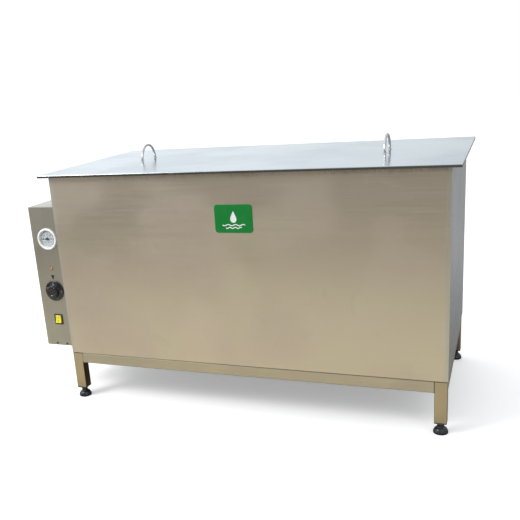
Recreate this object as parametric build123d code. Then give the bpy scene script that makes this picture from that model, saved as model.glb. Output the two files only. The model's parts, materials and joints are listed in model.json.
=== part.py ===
"""Electrically heated stainless tank: insulated vat with a lift-off lid on a tube frame,
with a control box on its left end and a drain valve at its rear.

Millimetres. X runs along the tank, Y from front to rear, Z up. The model is worked out about
the middle of the tank, with Z = 0 on the floor, and every piece is moved at the end so that
the origin is at the bottom centre of the whole object's box.
"""

from build123d import *
import math
import os

# ----------------------------------------------------------------------- tank and casing
tank_length = 1050.0
tank_depth = 525.0
tank_height = 518.0
casing_sheet = 1.0
casing_bend_radius = 2.0
corner_return = 14.0
bottom_flange = 15.0
panel_seam = 0.4
insulation_thickness = 30.0
vat_sheet = 1.5
vat_bend_radius = 12.0
smallest_round = 0.3

# ----------------------------------------------------------------------------- tube frame
frame_tube = 30.0
frame_tube_wall = 2.0
frame_tube_corner = 2.5
leg_length = 107.5
frame_inset_left = 0.0
frame_inset_right = 2.0
frame_inset_front = 1.0
frame_inset_rear = 1.0
rail_recess = 2.0
base_plate_thickness = 2.5
base_plate_inset = 8.0

# -------------------------------------------------------------------------- levelling feet
foot_height = 32.0
foot_base_radius = 18.0
foot_rim_height = 4.0
foot_rim_round = 1.5
foot_neck_radius = 8.5
foot_shoulder_height = 17.0
foot_dome_radius = 14.6
foot_dome_height = 12.2
stud_radius = 5.0
stud_length = 60.0
lock_nut_height = 6.0
lock_nut_width = 17.0
insert_flange = 3.0
insert_plug_height = 20.0
insert_plug_corner = 1.0
insert_fit = 0.1
running_clearance = 0.05
contact_gap = 0.3

# --------------------------------------------------------------------------------- the lid
lid_sheet_thickness = 1.5
lid_overhang = 21.5
lid_lip_height = 7.0
lid_corner_radius = 1.5
lid_inner_corner = 0.5
lid_edge_round = 1.2
lid_channel_width = 20.0
lid_channel_height = 18.0
lid_channel_sheet = 1.2
lid_mouth_clearance = 6.0
handle_rod = 7.0
handle_spacing = 84.0
handle_leg = 1.0
handle_end_distance = 180.0

# ------------------------------------------------------------------------- lift-out floor
floor_height = 70.0
floor_sheet = 1.5
floor_edge_clearance = 12.0
floor_hole_radius = 9.0
floor_hole_columns = 18
floor_hole_rows = 8
floor_hole_margin = 32.0
runner_thickness = 3.0
runner_inset = 13.5

# ------------------------------------------------------------------------------- heating
element_radius = 4.25
element_height = 30.0
element_bend_radius = 20.0
element_terminal_length = 15.0
element_terminal_radius = 2.0
element_cold_length = 14.0
bush_radius = 7.0
bush_length = 15.5
bush_collar_radius = 11.0
bush_collar_thickness = 3.0
element_nut_width = 22.0
element_nut_height = 6.0
hole_clearance = 0.1
element_wall_gap = 40.0
element_pitch = 80.0
terminal_pitch = 50.0
outer_loop_end_gap = 50.0
outer_loop_start_gap = 38.0
window_low = 8.0
window_top_margin = 20.0
window_margin = 20.0

# ------------------------------------------------------------------- temperature probes
pocket_radius = 5.0
pocket_wall = 0.8
pocket_over_element = 24.0
pocket_length = 120.0
pocket_mouth = 12.0
bulb_radius = 3.5
bulb_length = 95.0
capillary_radius = 1.0
capillary_bend = 15.0

# --------------------------------------------------------------------------- control box
box_width = 104.0
box_rear_margin = 17.5
box_setback = 30.0
box_raise = 7.0
box_sheet = 1.2
box_bend_radius = 2.0
backplate_thickness = 1.5
box_flange = 14.0
box_screw_height = 6.0
box_screw_spacing = 34.0
box_screw_radius = 1.9
box_screw_length = 8.0
box_screw_head_radius = 3.5
box_screw_head_height = 2.2

# ------------------------------------- controls, one above the other up the box's front
switch_height = 82.0
switch_to_knob = 88.0
knob_to_pilot = 67.0
pilot_to_thermometer = 88.0
thermometer_to_top = 92.0

bezel_radius = 31.0
bezel_proud = 5.0
bezel_lip = 1.0
bezel_round = 1.2
dial_window_radius = 25.5
lens_radius = 28.0
lens_thickness = 1.5
case_cup_radius = 28.6
case_cup_depth = 26.0
case_wall = 1.5
case_cavity_radius = 26.0
dial_radius = 25.8
dial_thickness = 0.8
dial_setback = 1.0
movement_radius = 6.0
needle_spindle_radius = 1.0
needle_spindle_length = 12.0
needle_hub_radius = 3.0
needle_length = 21.0
needle_tail = 7.0
needle_tail_width = 3.5
needle_tip_width = 0.7
needle_thickness = 0.5
needle_front = 1.2

knob_radius = 30.5
knob_skirt = 3.0
knob_skirt_round = 1.4
knob_gap = 1.0
knob_grip_radius = 19.0
knob_grip_height = 14.0
knob_grip_taper = 1.2
knob_flutes = 12
knob_flute_radius = 3.2
knob_flute_offset = 1.8
spindle_radius = 3.0
spindle_length = 34.0
spindle_bury = 4.0
thermostat_width = 40.0
thermostat_height = 44.0
thermostat_depth = 38.0
thermostat_bush_radius = 4.8
thermostat_bush_proud = 0.6

switch_bezel_width = 27.0
switch_bezel_height = 31.5
switch_bezel_proud = 2.0
switch_bezel_rim = 4.0
switch_bezel_corner = 1.5
switch_body_width = 23.0
switch_body_height = 28.0
switch_body_depth = 26.0
switch_cavity_depth = 9.0
rocker_clearance = 0.35
rocker_tilt = 8.0
rocker_thickness = 5.0
rocker_crown = 1.6
rocker_back = 1.5
rocker_pivot_depth = 1.0
rocker_pin_radius = 1.5
rocker_pin_length = 1.4
rocker_pin_end_gap = 0.2

pilot_lens_radius = 4.5
pilot_body_radius = 4.0
pilot_body_length = 22.0
pilot_proud = 2.2
pilot_dome_round = 1.8

terminal_block_size = (20.0, 60.0, 26.0)
terminal_block_over_window = 150.0
terminal_ways = 6
terminal_screw_radius = 2.8
terminal_screw_depth = 12.0
terminal_screw_height = 17.7
terminal_slot_width = 5.2
terminal_slot_depth = 10.0
terminal_slot_height = 7.8

gland_bore_radius = 5.0
gland_thread_radius = 8.0
gland_thread_length = 9.0
gland_hex_width = 20.0
gland_hex_height = 5.0
gland_nut_height = 4.0
gland_cap_radius = 9.5
gland_cap_height = 12.0
gland_cap_round = 2.5

# --------------------------------------------------------------------------- drain valve
drain_end_distance = 125.0
drain_pipe_radius = 16.85
drain_bore_radius = 14.85
drain_slab_clearance = 0.5
drain_casing_clearance = 0.5
valve_standoff = 14.0
valve_length = 72.0
valve_body_radius = 24.0
valve_body_chamfer = 2.0
valve_inlet_depth = 15.0
valve_outlet_depth = 16.0
valve_outlet_radius = 15.1
valve_port_radius = 12.5
ball_radius = 18.0
ball_flat = 15.5
valve_boss_radius = 9.0
valve_boss_height = 30.0
stem_radius = 5.0
stem_top = 38.0
lever_gap = 1.0
lever_thickness = 3.0
lever_width = 18.0
lever_length = 115.0
grip_length = 72.0
grip_wall = 2.5
grip_round = 2.2

# ---------------------------------------------------------------------------- name plate
badge_width = 101.0
badge_height = 72.0
badge_thickness = 1.0
badge_corner = 8.0
badge_offset = 7.5
badge_top_distance = 121.0

# ------------------------------------------------------------------- places worked out
frame_top_z = foot_height + leg_length
tank_bottom_z = frame_top_z + base_plate_thickness
rim_top_z = tank_bottom_z + tank_height
rim_under_z = rim_top_z - vat_sheet
vat_under_z = tank_bottom_z + casing_sheet + insulation_thickness
vat_floor_z = vat_under_z + vat_sheet

half_length = tank_length / 2
half_depth = tank_depth / 2
vat_half_length = half_length - casing_sheet - insulation_thickness - vat_sheet
vat_half_depth = half_depth - casing_sheet - insulation_thickness - vat_sheet
vat_length = 2 * vat_half_length
vat_depth = 2 * vat_half_depth
vat_wall_x = vat_half_length + vat_sheet

lid_under_z = rim_top_z + contact_gap
lid_top_z = lid_under_z + lid_sheet_thickness
handle_arch_radius = handle_spacing / 2
handle_offset = half_length - handle_end_distance

outer_loop_side = vat_half_depth - element_wall_gap
outer_loop_return = -outer_loop_side + element_pitch + 2 * terminal_pitch
inner_loop_side = outer_loop_side - element_pitch
inner_loop_return = outer_loop_return - terminal_pitch
inner_loop_end_gap = outer_loop_end_gap + element_pitch
inner_loop_start_gap = outer_loop_start_gap + element_pitch / 2
element_z = vat_floor_z + element_height
thermostat_pocket_y = -outer_loop_side + element_pitch / 2
thermometer_pocket_y = (inner_loop_return + outer_loop_return) / 2
pocket_z = element_z + pocket_over_element
floor_under_z = vat_floor_z + floor_height

window_z = vat_floor_z + window_low
window_top_z = pocket_z + window_top_margin
window_low_y = -outer_loop_side - window_margin
window_high_y = outer_loop_return + window_margin

knob_height = switch_height + switch_to_knob
pilot_height = knob_height + knob_to_pilot
thermometer_height = pilot_height + pilot_to_thermometer
box_height = thermometer_height + thermometer_to_top
panel_y = -half_depth + box_setback
box_left_x = -half_length - box_width
box_centre_x = -half_length - box_width / 2
box_bottom_z = tank_bottom_z + box_raise
box_top_z = box_bottom_z + box_height
box_rear_y = window_high_y + box_rear_margin
panel_inner_y = panel_y + box_sheet
gland_y = inner_loop_return

drain_x = half_length - drain_end_distance
drain_z = vat_under_z + drain_pipe_radius + drain_slab_clearance
valve_start_y = half_depth + valve_standoff
valve_end_y = valve_start_y + valve_length
ball_y = valve_start_y + valve_length / 2


# ------------------------------------------------------------------------ small helpers
def block(x_low, x_high, y_low, y_high, z_low, z_high):
    """A rectangular block between two corners."""
    centre = Pos((x_low + x_high) / 2, (y_low + y_high) / 2, (z_low + z_high) / 2)
    return centre * Box(x_high - x_low, y_high - y_low, z_high - z_low)


def rod_x(radius, x_low, x_high, y, z):
    """A round bar along X."""
    return Pos((x_low + x_high) / 2, y, z) * Rot(0, 90, 0) * Cylinder(radius, x_high - x_low)


def rod_y(radius, y_low, y_high, x, z):
    """A round bar along Y."""
    return Pos(x, (y_low + y_high) / 2, z) * Rot(90, 0, 0) * Cylinder(radius, y_high - y_low)


def rod_z(radius, z_low, z_high, x, y):
    """A round bar along Z."""
    return Pos(x, y, (z_low + z_high) / 2) * Cylinder(radius, z_high - z_low)


def hexagon_z(width, z_low, z_high, x, y):
    """A hexagonal prism along Z, given its width across the flats."""
    outline = RegularPolygon(width / math.sqrt(3), 6)
    return Pos(x, y, z_low) * extrude(outline, z_high - z_low)


def hexagon_x(width, x_low, x_high, y, z):
    """A hexagonal prism along X, given its width across the flats."""
    outline = RegularPolygon(width / math.sqrt(3), 6)
    return Pos(x_low, y, z) * Rot(0, 90, 0) * extrude(outline, x_high - x_low)


def rounded_prism(length, depth, radius, z_low, z_high):
    """An upright prism about the Z axis with rounded vertical corners."""
    return Pos(0, 0, z_low) * extrude(RectangleRounded(length, depth, radius), z_high - z_low)


def trough(length, width, z_low, z_high, bend_radius):
    """A block along X whose two lower long edges are rounded, as a folded vat is."""
    body = block(-length / 2, length / 2, -width / 2, width / 2, z_low, z_high)
    low_edges = body.edges().filter_by(Axis.X).group_by(Axis.Z)[0]
    return fillet(low_edges, bend_radius)


def square_tube(length):
    """A length of the frame's tube along Z, starting at Z = 0."""
    inside = frame_tube - 2 * frame_tube_wall
    inside_corner = max(frame_tube_corner - frame_tube_wall, smallest_round)
    outer = extrude(RectangleRounded(frame_tube, frame_tube, frame_tube_corner), length)
    inner = extrude(RectangleRounded(inside, inside, inside_corner), length)
    return outer - inner


def swept_rod(points, bend_radius, radius):
    """A round rod along straight runs joined by equal arcs."""
    path = FilletPolyline(*points, radius=bend_radius)
    section = Plane(origin=path @ 0, z_dir=path % 0) * Circle(radius)
    return sweep(section, path=path)


# ------------------------------------------------------------------------------ the vat
def make_vat():
    outer_depth = vat_depth + 2 * vat_sheet
    outer_bend = vat_bend_radius + vat_sheet
    outside = trough(vat_length, outer_depth, vat_under_z, rim_under_z, outer_bend)
    inside = trough(vat_length, vat_depth, vat_floor_z, rim_under_z + 1, vat_bend_radius)
    drain_hole = rod_y(drain_pipe_radius, 0, half_depth, drain_x, drain_z)
    end = trough(vat_sheet, outer_depth, vat_under_z, rim_under_z, outer_bend)
    end_centre = vat_half_length + vat_sheet / 2
    left_end = Pos(-end_centre, 0, 0) * end
    for y in element_terminals():
        left_end -= rod_x(bush_radius + hole_clearance, -half_length, 0, y, element_z)
    for y in (thermostat_pocket_y, thermometer_pocket_y):
        left_end -= rod_x(pocket_radius, -half_length, 0, y, pocket_z)
    rim = rounded_prism(tank_length, tank_depth, casing_bend_radius, rim_under_z, rim_top_z)
    rim -= block(
        -vat_half_length, vat_half_length, -vat_half_depth, vat_half_depth, rim_under_z, rim_top_z
    )
    return {
        "vat_wrap": outside - inside - drain_hole,
        "vat_end_left": left_end,
        "vat_end_right": Pos(end_centre, 0, 0) * end,
        "vat_rim": rim,
    }


# --------------------------------------------------------------------------- the casing
def element_window(x_low, x_high):
    """The opening in the left end through which the element terminals are reached."""
    return block(
        x_low,
        x_high,
        window_low_y,
        window_high_y,
        window_z,
        window_top_z,
    )


def make_casing():
    inner_radius = max(casing_bend_radius - casing_sheet, smallest_round)
    inner_length = tank_length - 2 * casing_sheet
    inner_depth = tank_depth - 2 * casing_sheet
    skin = rounded_prism(
        tank_length, tank_depth, casing_bend_radius, tank_bottom_z, rim_under_z
    ) - rounded_prism(inner_length, inner_depth, inner_radius, tank_bottom_z, rim_under_z)
    flange_top_z = tank_bottom_z + casing_sheet
    front_skin = skin & block(
        -tank_length,
        tank_length,
        -tank_depth,
        -half_depth + corner_return,
        tank_bottom_z,
        rim_under_z,
    )
    front_flange = block(
        -half_length + casing_sheet,
        half_length - casing_sheet,
        -half_depth + casing_sheet / 2,
        -half_depth + bottom_flange,
        tank_bottom_z,
        flange_top_z,
    )
    front = front_skin + front_flange
    rear = Rot(0, 0, 180) * front
    rear -= rod_y(drain_pipe_radius + drain_casing_clearance, 0, tank_depth, drain_x, drain_z)
    end_half = half_depth - corner_return - panel_seam
    flange_half = half_depth - bottom_flange - panel_seam
    right = block(
        half_length - casing_sheet, half_length, -end_half, end_half, tank_bottom_z, rim_under_z
    )
    right += block(
        half_length - bottom_flange,
        half_length - casing_sheet / 2,
        -flange_half,
        flange_half,
        tank_bottom_z,
        flange_top_z,
    )
    window = element_window(-half_length - casing_sheet, -half_length + 2 * casing_sheet)
    left = Rot(0, 0, 180) * right - window
    base = block(
        -half_length + base_plate_inset,
        half_length - base_plate_inset,
        -half_depth + base_plate_inset,
        half_depth - base_plate_inset,
        frame_top_z,
        tank_bottom_z,
    )
    return {
        "casing_front": front,
        "casing_rear": rear,
        "casing_left": left,
        "casing_right": right,
        "casing_base_plate": base,
    }


def make_insulation():
    outer_length = tank_length - 2 * casing_sheet
    outer_depth = tank_depth - 2 * casing_sheet
    slab = block(
        -outer_length / 2,
        outer_length / 2,
        -outer_depth / 2,
        outer_depth / 2,
        tank_bottom_z + casing_sheet,
        vat_under_z,
    )
    jacket = block(
        -outer_length / 2,
        outer_length / 2,
        -outer_depth / 2,
        outer_depth / 2,
        vat_under_z,
        rim_under_z,
    )
    jacket -= block(
        -vat_wall_x,
        vat_wall_x,
        -vat_half_depth - vat_sheet,
        vat_half_depth + vat_sheet,
        vat_under_z,
        rim_under_z,
    )
    jacket -= element_window(-half_length, -vat_wall_x)
    jacket -= rod_y(drain_pipe_radius, vat_half_depth, half_depth, drain_x, drain_z)
    upright = jacket.edges().filter_by(Axis.Z)
    outside = upright.filter_by(lambda edge: abs(edge.center().X) > outer_length / 2 - 0.1)
    outside = outside.filter_by(lambda edge: abs(edge.center().Y) > outer_depth / 2 - 0.1)
    jacket = fillet(outside, casing_bend_radius)
    slab = fillet(slab.edges().filter_by(Axis.Z), casing_bend_radius)
    return {"insulation_sides": jacket, "insulation_bottom": slab}


# ---------------------------------------------------------------------------- the frame
leg_left_x = -half_length + frame_inset_left + frame_tube / 2
leg_right_x = half_length - frame_inset_right - frame_tube / 2
leg_front_y = -half_depth + frame_inset_front + frame_tube / 2
leg_rear_y = half_depth - frame_inset_rear - frame_tube / 2
leg_places = {
    "front_left": (leg_left_x, leg_front_y),
    "front_right": (leg_right_x, leg_front_y),
    "rear_left": (leg_left_x, leg_rear_y),
    "rear_right": (leg_right_x, leg_rear_y),
}


def make_frame():
    made = {}
    inserts = []
    nuts = []
    leg = square_tube(leg_length)
    for corner, (x, y) in leg_places.items():
        made["leg_" + corner] = Pos(x, y, foot_height) * leg
        inserts.append(leg_insert(x, y))
        nuts.append(lock_nut(x, y))
        made["levelling_foot_" + corner] = levelling_foot(x, y)
    long_rail = square_tube(leg_right_x - leg_left_x - frame_tube)
    short_rail = square_tube(leg_rear_y - leg_front_y - frame_tube)
    rail_z = frame_top_z - frame_tube / 2
    rail_start_x = leg_left_x + frame_tube / 2
    rail_start_y = leg_front_y + frame_tube / 2
    along_x = Rot(0, 90, 0) * long_rail
    along_y = Rot(-90, 0, 0) * short_rail
    made["rail_front"] = Pos(rail_start_x, leg_front_y + rail_recess, rail_z) * along_x
    made["rail_rear"] = Pos(rail_start_x, leg_rear_y - rail_recess, rail_z) * along_x
    made["rail_left"] = Pos(leg_left_x, rail_start_y, rail_z) * along_y
    made["rail_right"] = Pos(leg_right_x, rail_start_y, rail_z) * along_y
    made["leg_inserts"] = Compound(inserts)
    made["foot_lock_nuts"] = Compound(nuts)
    return made


def leg_insert(x, y):
    """A moulded plug in the end of a leg, with a flange under the tube and a bore for the stud."""
    plug_side = frame_tube - 2 * frame_tube_wall - 2 * insert_fit
    flange = extrude(RectangleRounded(frame_tube, frame_tube, frame_tube_corner), insert_flange)
    plug = extrude(RectangleRounded(plug_side, plug_side, insert_plug_corner), insert_plug_height)
    solid = Pos(x, y, foot_height - insert_flange) * flange + Pos(x, y, foot_height) * plug
    bore_top = foot_height + insert_plug_height
    bore = rod_z(stud_radius + running_clearance, foot_height - insert_flange, bore_top, x, y)
    return solid - bore


def lock_nut(x, y):
    top = foot_height - insert_flange
    nut = hexagon_z(lock_nut_width, top - lock_nut_height, top, x, y)
    return nut - rod_z(stud_radius + running_clearance, top - lock_nut_height, top, x, y)


def levelling_foot(x, y):
    """A squat domed foot turned about its stud: rim, round dome, neck and stud."""
    neck_top = foot_height - insert_flange - lock_nut_height - contact_gap
    round_middle = foot_rim_round * (1 - math.sqrt(0.5))
    outline = Polyline(
        (stud_radius, neck_top + stud_length),
        (0, neck_top + stud_length),
        (0, 0),
        (foot_base_radius - foot_rim_round, 0),
    )
    outline += ThreePointArc(
        (foot_base_radius - foot_rim_round, 0),
        (foot_base_radius - round_middle, round_middle),
        (foot_base_radius, foot_rim_round),
    )
    outline += Line((foot_base_radius, foot_rim_round), (foot_base_radius, foot_rim_height))
    outline += ThreePointArc(
        (foot_base_radius, foot_rim_height),
        (foot_dome_radius, foot_dome_height),
        (foot_neck_radius, foot_shoulder_height),
    )
    outline += Polyline(
        (foot_neck_radius, foot_shoulder_height),
        (foot_neck_radius, neck_top),
        (stud_radius, neck_top),
        (stud_radius, neck_top + stud_length),
    )
    profile = Plane.XZ * make_face(outline)
    return Pos(x, y, 0) * revolve(profile, Axis.Z)


# ------------------------------------------------------------------------------ the lid
def make_lid():
    length = tank_length + 2 * lid_overhang
    depth = tank_depth + 2 * lid_overhang
    lip_bottom_z = lid_top_z - lid_lip_height
    sheet = rounded_prism(length, depth, lid_corner_radius, lip_bottom_z, lid_top_z)
    sheet = fillet(sheet.edges().group_by(Axis.Z)[-1], lid_edge_round)
    sheet -= rounded_prism(
        length - 2 * lid_sheet_thickness,
        depth - 2 * lid_sheet_thickness,
        lid_inner_corner,
        lip_bottom_z,
        lid_under_z,
    )
    channels = []
    channel_half = vat_half_length - lid_mouth_clearance
    channel_y = vat_half_depth - lid_mouth_clearance - lid_channel_width / 2
    for side in (-1, 1):
        y = side * channel_y
        outer = block(
            -channel_half,
            channel_half,
            y - lid_channel_width / 2,
            y + lid_channel_width / 2,
            lid_under_z - lid_channel_height,
            lid_under_z,
        )
        hollow = block(
            -channel_half,
            channel_half,
            y - lid_channel_width / 2 + lid_channel_sheet,
            y + lid_channel_width / 2 - lid_channel_sheet,
            lid_under_z - lid_channel_height + lid_channel_sheet,
            lid_under_z,
        )
        channels.append(outer - hollow)
    return {
        "lid_sheet": sheet,
        "lid_channels": Compound(channels),
        "lid_handle_left": lid_handle(-handle_offset),
        "lid_handle_right": lid_handle(handle_offset),
    }


def lid_handle(x):
    """A round bar bent to a half circle on two short legs, standing on the lid."""
    spring_z = lid_top_z + handle_leg
    bend = Line((x, -handle_arch_radius, lid_top_z), (x, -handle_arch_radius, spring_z))
    bend += ThreePointArc(
        (x, -handle_arch_radius, spring_z),
        (x, 0, spring_z + handle_arch_radius),
        (x, handle_arch_radius, spring_z),
    )
    bend += Line((x, handle_arch_radius, spring_z), (x, handle_arch_radius, lid_top_z))
    section = Plane(origin=(x, -handle_arch_radius, lid_top_z), z_dir=(0, 0, 1))
    return sweep(section * Circle(handle_rod / 2), path=bend)


# ----------------------------------------------------------------------- lift-out floor
def make_lift_floor():
    half_x = vat_half_length - floor_edge_clearance
    half_y = vat_half_depth - floor_edge_clearance
    top_z = floor_under_z + floor_sheet
    plate = block(-half_x, half_x, -half_y, half_y, floor_under_z, top_z)
    pitch_x = 2 * (half_x - floor_hole_margin) / (floor_hole_columns - 1)
    pitch_y = 2 * (half_y - floor_hole_margin) / (floor_hole_rows - 1)
    holes = GridLocations(pitch_x, pitch_y, floor_hole_columns, floor_hole_rows)
    drill = Cylinder(floor_hole_radius, 4 * floor_sheet)
    plate -= [Pos(0, 0, floor_under_z) * place * drill for place in holes]
    runner_y = vat_half_depth - runner_inset
    runners = []
    for side in (-1, 1):
        y = side * runner_y
        runners.append(
            block(
                -half_x,
                half_x,
                y - runner_thickness / 2,
                y + runner_thickness / 2,
                vat_floor_z + contact_gap,
                floor_under_z,
            )
        )
    return {"lift_floor_plate": plate, "lift_floor_runners": Compound(runners)}


# ------------------------------------------------------------------------------ heating
def element_terminals():
    """The places along Y where the two elements pass through the left end."""
    return (-outer_loop_side, -inner_loop_side, inner_loop_return, outer_loop_return)


def heating_element(side, return_y, end_gap, start_gap):
    """A tubular element in one loop: out along the front, back along the rear and in again."""
    cold_end_x = -half_length - element_cold_length
    far_x = vat_half_length - end_gap
    near_x = -vat_half_length + start_gap
    corners = [
        (cold_end_x, -side, element_z),
        (far_x, -side, element_z),
        (far_x, side, element_z),
        (near_x, side, element_z),
        (near_x, return_y, element_z),
        (cold_end_x, return_y, element_z),
    ]
    solid = swept_rod(corners, element_bend_radius, element_radius)
    for y in (-side, return_y):
        collar_end = -vat_half_length + bush_collar_thickness
        solid += rod_x(bush_collar_radius, -vat_half_length, collar_end, y, element_z)
        thread_start = -vat_half_length - bush_length
        solid += rod_x(bush_radius, thread_start, -vat_half_length, y, element_z)
        pin_start = cold_end_x - element_terminal_length
        solid += rod_x(element_terminal_radius, pin_start, cold_end_x, y, element_z)
    return solid


def make_heating():
    nuts = []
    for y in element_terminals():
        nut = hexagon_x(
            element_nut_width, -vat_wall_x - element_nut_height, -vat_wall_x, y, element_z
        )
        nuts.append(nut - rod_x(bush_radius, -half_length, -vat_wall_x, y, element_z))
    return {
        "heating_element_outer": heating_element(
            outer_loop_side, outer_loop_return, outer_loop_end_gap, outer_loop_start_gap
        ),
        "heating_element_inner": heating_element(
            inner_loop_side, inner_loop_return, inner_loop_end_gap, inner_loop_start_gap
        ),
        "element_nuts": Compound(nuts),
    }


# -------------------------------------------------------------------------------- probes
def probe_pocket(y):
    """A closed tube welded through the left end that keeps a bulb dry."""
    mouth_x = -vat_wall_x - pocket_mouth
    tip_x = -vat_half_length + pocket_length
    tube = rod_x(pocket_radius, mouth_x, tip_x, y, pocket_z)
    bore_radius = pocket_radius - pocket_wall
    return tube - rod_x(bore_radius, mouth_x, tip_x - pocket_wall, y, pocket_z)


def probe(y, corners):
    """A bulb in its pocket with a capillary tube that runs on to its instrument."""
    bulb_tip_x = -vat_half_length + pocket_length - 3 * pocket_wall
    bulb_root_x = bulb_tip_x - bulb_length
    bulb = rod_x(bulb_radius, bulb_root_x, bulb_tip_x, y, pocket_z)
    route = [(bulb_root_x, y, pocket_z)] + corners
    return bulb + swept_rod(route, capillary_bend, capillary_radius)


def make_probes():
    thermostat_z = box_bottom_z + knob_height - thermostat_height / 4
    thermostat_x = box_centre_x + thermostat_width / 4
    thermostat_rear_y = panel_inner_y + thermostat_depth
    thermometer_z = box_bottom_z + thermometer_height
    case_rear_y = panel_y + case_cup_depth
    return {
        "probe_pockets": Compound(
            [probe_pocket(thermostat_pocket_y), probe_pocket(thermometer_pocket_y)]
        ),
        "thermostat_probe": probe(
            thermostat_pocket_y,
            [
                (thermostat_x, thermostat_pocket_y, pocket_z),
                (thermostat_x, thermostat_pocket_y, thermostat_z),
                (thermostat_x, thermostat_rear_y, thermostat_z),
            ],
        ),
        "thermometer_probe": probe(
            thermometer_pocket_y,
            [
                (box_centre_x, thermometer_pocket_y, pocket_z),
                (box_centre_x, thermometer_pocket_y, thermometer_z),
                (box_centre_x, case_rear_y, thermometer_z),
            ],
        ),
    }


# ------------------------------------------------------------------------- control box
def box_screw_places():
    """Screw centres along X, and the sign of the face that each pair is in."""
    offsets = (-box_screw_spacing / 2, box_screw_spacing / 2)
    return [(box_centre_x + offset, face) for face in (-1, 1) for offset in offsets]


def box_screw(x, face, radius, length):
    """A bar through the front or rear wall of the box, starting at its outer face."""
    z = box_bottom_z + box_screw_height
    if face < 0:
        return rod_y(radius, panel_y, panel_y + length, x, z)
    return rod_y(radius, box_rear_y - length, box_rear_y, x, z)


def make_control_box():
    cover = block(box_left_x, -half_length, panel_y, box_rear_y, box_bottom_z, box_top_z)
    corner_edges = cover.edges().filter_by(Axis.Z).group_by(Axis.X)[0]
    cover = fillet(corner_edges, box_bend_radius)
    inside = block(
        box_left_x + box_sheet,
        -half_length,
        panel_inner_y,
        box_rear_y - box_sheet,
        box_bottom_z,
        box_top_z - box_sheet,
    )
    inside_edges = inside.edges().filter_by(Axis.Z).group_by(Axis.X)[0]
    inside_radius = max(box_bend_radius - box_sheet, smallest_round)
    cover -= fillet(inside_edges, inside_radius)
    drill_end = panel_y + 2 * box_sheet
    drill_start = panel_y - box_sheet
    for height, radius in (
        (thermometer_height, case_cup_radius),
        (knob_height, thermostat_bush_radius + hole_clearance),
        (pilot_height, pilot_body_radius + hole_clearance),
    ):
        cover -= rod_y(radius, drill_start, drill_end, box_centre_x, box_bottom_z + height)
    cover -= block(
        box_centre_x - switch_body_width / 2,
        box_centre_x + switch_body_width / 2,
        drill_start,
        drill_end,
        box_bottom_z + switch_height - switch_body_height / 2,
        box_bottom_z + switch_height + switch_body_height / 2,
    )
    backplate_x = -half_length - backplate_thickness
    inner_rear_y = box_rear_y - box_sheet
    bottom = block(
        box_left_x + box_sheet,
        backplate_x,
        panel_inner_y,
        inner_rear_y,
        box_bottom_z,
        box_bottom_z + box_sheet,
    )
    bottom = fillet(bottom.edges().filter_by(Axis.Z).group_by(Axis.X)[0], inside_radius)
    for flange_y in (panel_inner_y, inner_rear_y - box_sheet):
        bottom += block(
            box_left_x + box_sheet + box_bend_radius,
            backplate_x,
            flange_y,
            flange_y + box_sheet,
            box_bottom_z,
            box_bottom_z + box_flange,
        )
    bottom -= rod_z(
        gland_thread_radius, box_bottom_z, box_bottom_z + box_sheet, box_centre_x, gland_y
    )
    screws = []
    for x, face in box_screw_places():
        shank = box_screw(x, face, box_screw_radius, box_screw_length)
        cover -= shank
        bottom -= shank
        head = box_screw(x, face, box_screw_head_radius, box_screw_head_height)
        screws.append(shank + Pos(0, face * box_screw_head_height, 0) * head)
    backplate = block(
        backplate_x,
        -half_length,
        panel_inner_y,
        inner_rear_y,
        box_bottom_z,
        box_top_z - box_sheet,
    )
    backplate -= element_window(backplate_x, -half_length)
    return {
        "control_box_cover": cover,
        "control_box_bottom": bottom,
        "control_box_backplate": backplate,
        "control_box_screws": Compound(screws),
        "terminal_block": terminal_block(backplate_x),
        "cable_gland": cable_gland(),
    }


def terminal_block(back_x):
    """A moulded strip on the backplate with a wire slot and a screw well at each way."""
    reach, length, height = terminal_block_size
    low_y = gland_y - length / 2
    low_z = window_top_z + terminal_block_over_window
    strip = block(back_x - reach, back_x, low_y, low_y + length, low_z, low_z + height)
    pitch = length / terminal_ways
    for way in range(terminal_ways):
        y = low_y + (way + 0.5) * pitch
        well_x = back_x - reach + terminal_screw_depth
        well_z = low_z + terminal_screw_height
        strip -= rod_x(terminal_screw_radius, back_x - reach, well_x, y, well_z)
        strip -= block(
            back_x - reach,
            back_x - reach + terminal_slot_depth,
            y - terminal_slot_width / 2,
            y + terminal_slot_width / 2,
            low_z,
            low_z + terminal_slot_height,
        )
    return strip


def cable_gland():
    """A gland through the box's bottom: cap nut and hexagon below, thread and nut inside."""
    x = box_centre_x
    cap_bottom_z = box_bottom_z - gland_hex_height - gland_cap_height
    thread_top_z = box_bottom_z + box_sheet + gland_thread_length
    body = rod_z(gland_cap_radius, cap_bottom_z, box_bottom_z - gland_hex_height, x, gland_y)
    body = fillet(body.edges().group_by(Axis.Z)[0], gland_cap_round)
    body += hexagon_z(
        gland_hex_width, box_bottom_z - gland_hex_height, box_bottom_z, x, gland_y
    )
    body += rod_z(gland_thread_radius, box_bottom_z, thread_top_z, x, gland_y)
    nut_z = box_bottom_z + box_sheet
    body += hexagon_z(gland_hex_width, nut_z, nut_z + gland_nut_height, x, gland_y)
    return body - rod_z(gland_bore_radius, cap_bottom_z, thread_top_z, x, gland_y)


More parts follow.
